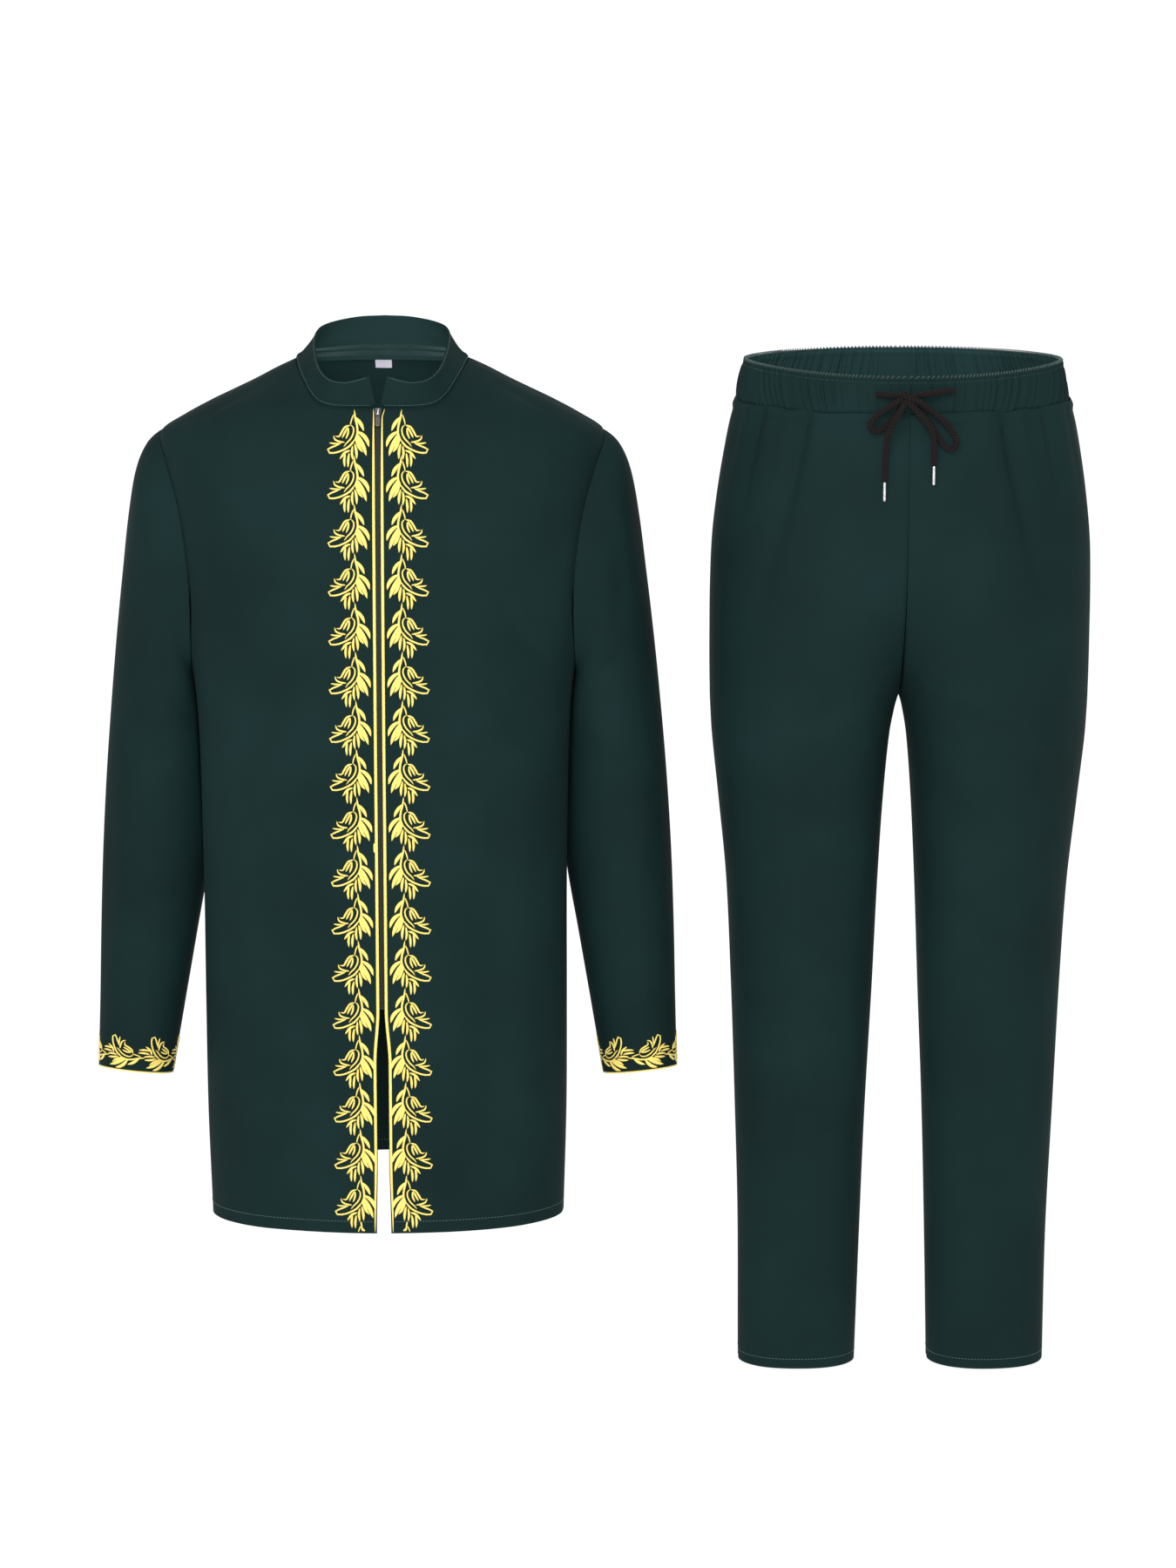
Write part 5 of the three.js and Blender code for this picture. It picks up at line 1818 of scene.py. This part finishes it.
@dataclass
class Trousers:
    """The trousers' four leg panels and the gathered waistband."""

    roundness: float = ROUNDNESS
    crotch_z: float = -334.0
    hem_stitch: float = 10.0
    level_top: float = -42.0
    level_hem: float = -1019.5
    seam_front: float = -47.5
    seam_side: float = -41.0
    seam_back: float = -38.0
    top_front: float = -11.5
    top_side: float = -1.0
    top_back: float = 3.0
    seam_calm: float = 14.0
    waist_calm: float = 40.0
    seam_roll: float = 0.8
    seam_width: float = 2.2
    gathers: int = 112
    band_stitch: float = 0.87
    band_half: tuple[float, float] = (163.5, 156.0)
    band_depth: tuple[float, float] = (97.5, 94.0)
    fullness: float = 3.2
    table: Table = field(default_factory=lambda: Table("z outer inner front back mid", [
        (-30, 161, -161, 97, 97, 0),
        (-42, 164, -164, 98, 98, 0),
        (-62, 169.5, -165, 99.5, 101, 0),
        (-90, 175, -160, 101, 106, 0),
        (-130, 181.5, -145, 103, 112, 1),
        (-175, 186.5, -115, 104, 117, 2),
        (-225, 188.3, -72, 103, 118, 4),
        (-270, 188.5, -35, 100, 115, 6),
        (-300, 188.4, -14.5, 97.5, 111.7, 7),
        (-318, 188.1, -5.6, 95.6, 109.3, 7.5),
        (-328, 187.9, -1.6, 94.6, 107.9, 7.8),
        (-334, 187.8, 0, 94, 107, 8),
        (-346, 187.3, 3.4, 92.5, 105.3, 8),
        (-375, 185.5, 8.5, 89, 101, 8),
        (-440, 178.5, 14, 82, 91, 8),
        (-520, 170.5, 18.5, 75, 80, 7),
        (-620, 165.5, 23, 67, 70, 5),
        (-740, 161, 28.5, 58, 61, 3),
        (-880, 156.5, 33, 50, 52, 1),
        (-1019.5, 155.5, 37, 45, 46, 0),
    ]))
    pleats: Sequence[Pleat] = (
        Pleat(Hand.RIGHT, Face.FRONT, 32, 3.2, 5, 150),
        Pleat(Hand.RIGHT, Face.FRONT, 55, 5, 4.5, 230),
        Pleat(Hand.RIGHT, Face.FRONT, 67, 2.6, 4, 110),
        Pleat(Hand.LEFT, Face.FRONT, 37, 3.4, 5, 130),
        Pleat(Hand.LEFT, Face.FRONT, 58, 4.6, 4.5, 210),
        Pleat(Hand.LEFT, Face.FRONT, 72, 2.2, 4, 90),
        Pleat(Hand.RIGHT, Face.BACK, 30, 3, 5.5, 130),
        Pleat(Hand.RIGHT, Face.BACK, 61, 4, 5, 170),
        Pleat(Hand.LEFT, Face.BACK, 41, 3.6, 5.5, 150),
        Pleat(Hand.LEFT, Face.BACK, 69, 3, 5, 120),
        Pleat(Hand.RIGHT, Face.FRONT, 56.5, 2.8, 1.6, 130),
        Pleat(Hand.RIGHT, Face.FRONT, 34, 2.0, 1.6, 90),
        Pleat(Hand.LEFT, Face.FRONT, 59.5, 2.6, 1.6, 140),
        Pleat(Hand.LEFT, Face.FRONT, 39, 2.0, 1.6, 80),
        Pleat(Hand.RIGHT, Face.FRONT, 17, 1.4, 3.5, 70),
        Pleat(Hand.RIGHT, Face.FRONT, 44, 1.3, 3, 60),
        Pleat(Hand.RIGHT, Face.FRONT, 80, 1.2, 3, 60),
        Pleat(Hand.LEFT, Face.FRONT, 20, 1.6, 3.5, 80),
        Pleat(Hand.LEFT, Face.FRONT, 48, 1.2, 3, 60),
        Pleat(Hand.LEFT, Face.FRONT, 84, 1.1, 3, 50),
        Pleat(Hand.RIGHT, Face.BACK, 45, 1.6, 3.5, 80),
        Pleat(Hand.RIGHT, Face.BACK, 76, 1.4, 3.5, 70),
        Pleat(Hand.LEFT, Face.BACK, 22, 1.5, 3.5, 80),
        Pleat(Hand.LEFT, Face.BACK, 55, 1.4, 3.5, 70),
    )
    creases: dict[Face, Sequence[Crease]] = field(default_factory=lambda: {
        Face.FRONT: (
            Crease(-40, -330, -128, -372, -8, -1.7, 12),
            Crease(-22, -360, -92, -430, 7, 1.4, 12),
            Crease(-130, -300, -112, -700, 9, 1.8, 17),
            Crease(-92, -640, -84, -980, -6, 1.4, 13),
            Crease(-70, -520, -120, -600, 6, -1.2, 13),
            Crease(-52, -760, -96, -800, -5, -1.2, 10),
            Crease(36, -338, 120, -380, 8, -1.8, 12),
            Crease(24, -352, 86, -446, -6, 1.4, 11),
            Crease(136, -320, 116, -720, -9, 1.8, 17),
            Crease(94, -620, 88, -990, 6, 1.5, 13),
            Crease(66, -540, 124, -622, -6, -1.3, 12),
            Crease(50, -780, 92, -812, 5, -1.2, 10),
            Crease(-60, -120, -52, -290, 6, -1.0, 14),
            Crease(70, -110, 60, -280, -6, -1.0, 14),
        ),
        Face.BACK: (
            Crease(-20, -300, -130, -352, -10, -2.2, 13),
            Crease(-16, -340, -112, -420, 8, 1.8, 13),
            Crease(-126, -330, -106, -720, 8, 1.9, 17),
            Crease(-60, -560, -122, -600, 6, -1.6, 11),
            Crease(-90, -650, -86, -980, -6, 1.5, 14),
            Crease(18, -306, 124, -346, 9, -2.1, 12),
            Crease(20, -348, 104, -430, -8, 1.8, 12),
            Crease(130, -340, 112, -700, -8, 1.8, 18),
            Crease(64, -580, 118, -628, -6, -1.5, 12),
            Crease(92, -640, 84, -990, 7, 1.5, 13),
        ),
    })
    cuts: dict[str, Cut] = field(default_factory=lambda: {
        "front": Cut(0.262, 0.98, 0.221),
        "back": Cut(0.275, 0.985, 0.23),
        "band": Cut(0.93, 0.042, 0.037),
    })

    def section(self, z: Array) -> tuple[Array, Array]:
        """The centre and the half width of a leg's section at a height."""
        outer, inner = self.table.read("outer", z), self.table.read("inner", z)
        return (outer + inner) / 2, (outer - inner) / 2

    def inside(self, points: Array) -> Array:
        """Below 0 inside the left leg and above 0 outside."""
        x, y, z = np.moveaxis(points, -1, 0)
        centre, half = self.section(z)
        ahead = y - self.table.read("mid", z)
        depth = np.where(ahead < 0, self.table.read("front", z), self.table.read("back", z))
        return (np.abs(x - centre) / half) ** self.roundness + (np.abs(ahead) / depth) ** self.roundness - 1

    def inner_turn(self, z: Array) -> Array:
        """The turn at which a section reaches the centre seam, or half a turn below the crotch."""
        centre, half = self.section(z)
        cut = centre - SEAM_GAP / 2
        ratio = np.clip(np.maximum(cut, 0.0) / half, 0.0, 1.0) ** (self.roundness / 2)
        return np.where(cut >= half, math.pi, np.arccos(-ratio))

    def waist_z(self, front: float, side: float, back: float, ahead: Array) -> Array:
        """The height of a line round the waist, where ahead goes from -1 in front to 1 behind."""
        return side + np.where(ahead < 0, front - side, back - side) * ahead * ahead

    def pleat_depth(self, hand: Hand, face: Face, turn: Array, z: Array) -> Array:
        """How far the pleats of a panel sink.

        Args:
            hand: The leg's side.
            face: The front or the back.
            turn: The turn of each point from the side seam.
            z: The height of each point.

        Returns:
            The depth at each point.
        """
        total = np.zeros(np.broadcast(turn, z).shape)
        for pleat in self.pleats:
            if pleat.hand is hand and pleat.face is face:
                off = (turn - math.radians(pleat.turn)) / math.radians(pleat.width)
                total += pleat.depth * np.exp(-off * off) * (1 - smooth_step(-z, 70.0, 70.0 + pleat.fall))
        return total

    def panel(self, hand: Hand, face: Face, level: Array, share: Array) -> tuple[Array, Array]:
        """The outer points and normals of a leg panel.

        Args:
            hand: The leg's side.
            face: The front or the back.
            level: The plain height of each row.
            share: Column values from 0 at the side seam to 1 at the inner or centre seam.

        Returns:
            The grid of points and its normals.
        """
        read = self.table.read
        level, share = level[:, None], share[None, :]
        fade = np.maximum(0.0, 1 - (self.level_top - level) / 120) ** 2
        seam = (self.seam_front, self.seam_side, self.seam_back)

        def height(ahead: Array) -> Array:
            """The height of a row's points once the waist seam dips."""
            return level + (self.waist_z(*seam, ahead) - self.level_top) * fade

        widest = self.inner_turn(height(np.full_like(level, float(face.value))))
        turn = widest * share
        facing = face.value * np.sin(np.minimum(turn, math.pi / 2))
        z = height(facing)
        centre, half = self.section(z)
        x = centre + half * power(np.cos(turn), 2 / self.roundness)
        x = np.where(z > self.crotch_z, np.maximum(x, SEAM_GAP / 2), x)
        depth = read("front", z) if face is Face.FRONT else read("back", z)
        y = read("mid", z) + face.value * depth * power(np.sin(turn), 2 / self.roundness)
        points = np.stack([x, y, z], axis=-1)
        normals = field_normal(self.inside, points)
        from_side = turn * half
        from_inner = (widest - turn) * half
        from_top = np.maximum(self.waist_z(*seam, facing) - z, 0.0)
        free = smooth_step(from_side, 0.0, self.seam_calm) * smooth_step(from_inner, 0.0, self.seam_calm)
        free = free * smooth_step(from_top, 0.0, self.waist_calm)
        lift = relief(self.creases[face], hand.value * x, z) * free
        pleats = self.pleat_depth(hand, face, turn, z)
        lift = lift - pleats * (0.45 + 0.55 * smooth_step(from_top, 0.0, 12.0))
        wave = np.sin(15 * turn + hand.value + 1.8 * np.sin(7 * turn)) * (0.75 + 0.25 * np.sin(4 * turn + 2))
        puff = 2.4 * np.exp(-(((from_top - 4.5) / 3.6) ** 2)) * (0.62 + 0.38 * wave)
        lift = lift + puff * np.clip(1 - pleats / 4.0, 0.0, 1.0)
        ripple = 0.5 * wave * smooth_step(from_top, 3.0, 14.0) * (1 - smooth_step(from_top, 30.0, 120.0))
        lift = lift + ripple
        points[..., 2] += (1.5 + 1.6 * wave) * np.exp(-((from_top / 3.0) ** 2))
        for distance in (from_side, from_inner):
            lift = lift - self.seam_roll * np.exp(-((distance / self.seam_width) ** 2))
        points = points + lift[..., None] * normals
        points[..., 0] = np.where(z > self.crotch_z, np.maximum(points[..., 0], SEAM_GAP / 2), points[..., 0])
        points[..., 1] += face.value * SEAM_GAP / 2
        flip = np.array((hand.value, 1.0, 1.0))
        return points * flip + (TROUSERS_X, 0.0, 0.0), normals * flip

    def legs(self, wardrobe: Wardrobe) -> None:
        """Makes the four leg panels and their hem stitches."""
        top = np.array((0.0, 1.2, 2.4, 3.6, 5.0, 7.0, 9.5, 12.5, 16.0))
        upper = np.arange(20.0, 210.0, 5.0)
        crotch = np.arange(210.0, 330.0, 3.2)
        lower = np.linspace(330.0, self.level_top - self.level_hem, 98)
        level = self.level_top - np.concatenate([top, upper, crotch, lower])
        share = edged(64, 0.028)
        for hand in Hand:
            for face in Face:
                grid = self.panel(hand, face, level, share)
                name, node = f"trouser_{face.word}_cloth_{hand.word}", f"trouser_{face.word}_{hand.word}"
                cloth = cloth_wall(name, grid, wardrobe.crepe, node)
                row = np.array((self.level_hem + self.hem_stitch,))
                line, line_normals = self.panel(hand, face, row, np.linspace(0.01, 0.99, 120))
                sewing = MeshParts()
                Stitching().add(sewing, line[0], line_normals[0])
                name = f"trouser_{face.word}_hem_stitches_{hand.word}"
                stitches = sewing.make(name, wardrobe.sewing)
                self.cuts[face.word].declare(cloth, "hung", ["waistband_cloth"], [stitches])

    def band(self, plain: Array, up: Array) -> tuple[Array, Array]:
        """The waistband's outer points and normals, with its slanting gathers.

        Args:
            plain: Turns round the waist, from the centre of the front towards the wearer's left.
            up: Heights from 0 at the seam to 1 at the top edge.

        Returns:
            The points and their normals, for plain and up broadcast together.
        """
        plain, up = np.broadcast_arrays(np.asarray(plain, dtype=float), np.asarray(up, dtype=float))
        slant = np.sin(plain) * (0.11 * (up - 0.5) + 0.05 * (up - 0.5) * np.abs(np.sin(plain)))
        curl = 0.018 * np.sin(math.pi * up) * np.sin(plain)
        angle = plain + 0.02 * np.sin(7 * plain) + slant + curl

        def form(at: Array) -> Array:
            """Points of the band before it is gathered."""
            ahead = -np.cos(at)
            half = mix(*self.band_half, up)
            depth = mix(*self.band_depth, up)
            seam = self.waist_z(self.seam_front, self.seam_side, self.seam_back, ahead) + 2 * SEAM_GAP
            top = self.waist_z(self.top_front, self.top_side, self.top_back, ahead)
            x = half * power(np.sin(at), 2 / self.roundness)
            return np.stack([x, depth * power(ahead, 2 / self.roundness), mix(seam, top, up)], axis=-1)

        points = form(angle)
        around = form(angle + 0.01) - form(angle - 0.01)
        normals = unit(np.cross(around, np.array((-0.05, 0.0, 1.0))))
        normals[..., 2] = 0.0
        normals = unit(normals)
        facing = np.sum(normals[..., :2] * points[..., :2], axis=-1) < 0
        normals = np.where(facing[..., None], -normals, normals)
        swell = 0.72 + 0.28 * np.sin(11 * plain + 1) + 0.16 * np.sin(23 * plain + 2)
        edge = 0.3 + 0.7 * np.sin(math.pi * np.clip(up, 0.0, 1.0)) ** 0.7
        phase = self.gathers * plain + 2.6 * np.sin(5 * plain + 0.5) + 1.9 * np.sin(13 * plain)
        phase = phase + np.sin(29 * plain)
        wave = 0.5 + 0.5 * np.cos(phase)
        broad = 0.5 + 0.5 * np.cos(0.5 * phase + 1.5 * np.sin(9 * plain) + 0.8 * up)
        fold = self.fullness * swell * edge * (0.62 * wave**1.2 + 0.38 * broad)
        stitch_line = -0.7 * np.exp(-(((up - self.band_stitch) / 0.035) ** 2))
        hem = 0.5 * np.exp(-(((up - 0.96) / 0.04) ** 2))
        tuck = -0.9 * np.exp(-((up / 0.05) ** 2))
        points = points + (fold - 1 + stitch_line + hem + tuck)[..., None] * normals
        return points + (TROUSERS_X, 0.0, 0.0), normals

    def waistband(self, wardrobe: Wardrobe) -> None:
        """Makes the waistband, its row of stitches and the serged top edge."""
        up = edged(20, 0.08)
        plain = np.linspace(0.0, 2 * math.pi, 1240, endpoint=False)
        grid = self.band(plain[None, :], up[:, None])
        cloth = cloth_wall("waistband_cloth", grid, wardrobe.crepe, "waistband", closed=True)
        sewing = MeshParts()
        ring = np.linspace(0.0, 2 * math.pi, 900)
        line, line_normals = self.band(ring, np.full_like(ring, self.band_stitch))
        Stitching(2.1, 0.8, 0.3).add(sewing, line, line_normals)
        stitches = sewing.make("waistband_stitches", wardrobe.sewing)
        serging = MeshParts()
        turns = 270
        spin = np.linspace(0.0, 2 * math.pi * turns, 9 * turns)
        around = np.linspace(0.0, 2 * math.pi, len(spin))
        edge, edge_normals = self.band(around, np.ones_like(around))
        middle = edge - (CLOTH / 2) * edge_normals
        radial = np.cos(spin)[:, None] * edge_normals + np.sin(spin)[:, None] * (0.0, 0.0, 1.0)
        serging.tube(middle + 1.4 * radial, 0.5, 5, radial)
        edging = serging.make("waistband_serging", wardrobe.serging)
        self.cuts["band"].declare(cloth, "gathered", [], [stitches, edging])


def main() -> None:
    """Builds the set in order."""
    logging.basicConfig(level=logging.INFO, format="%(name)s %(message)s")
    studio = Studio()
    studio.camera()
    wardrobe = Wardrobe()
    Drawstring().build(wardrobe)
    kurta = Kurta()
    sleeves = Sleeves(kurta)
    embroidery = Embroidery(kurta, sleeves)
    on_front = {hand: embroidery.fronts(hand, wardrobe.gold) for hand in Hand}
    on_sleeve = {hand: embroidery.cuffs(hand, wardrobe.gold) for hand in Hand}
    kurta.collar(wardrobe)
    kurta.fronts(wardrobe, on_front)
    kurta.back(wardrobe)
    kurta.label(wardrobe)
    kurta.zip_trim(wardrobe)
    sleeves.build(wardrobe, on_sleeve)
    trousers = Trousers()
    trousers.waistband(wardrobe)
    trousers.legs(wardrobe)
    studio.build()


if __name__ == "__main__":
    main()
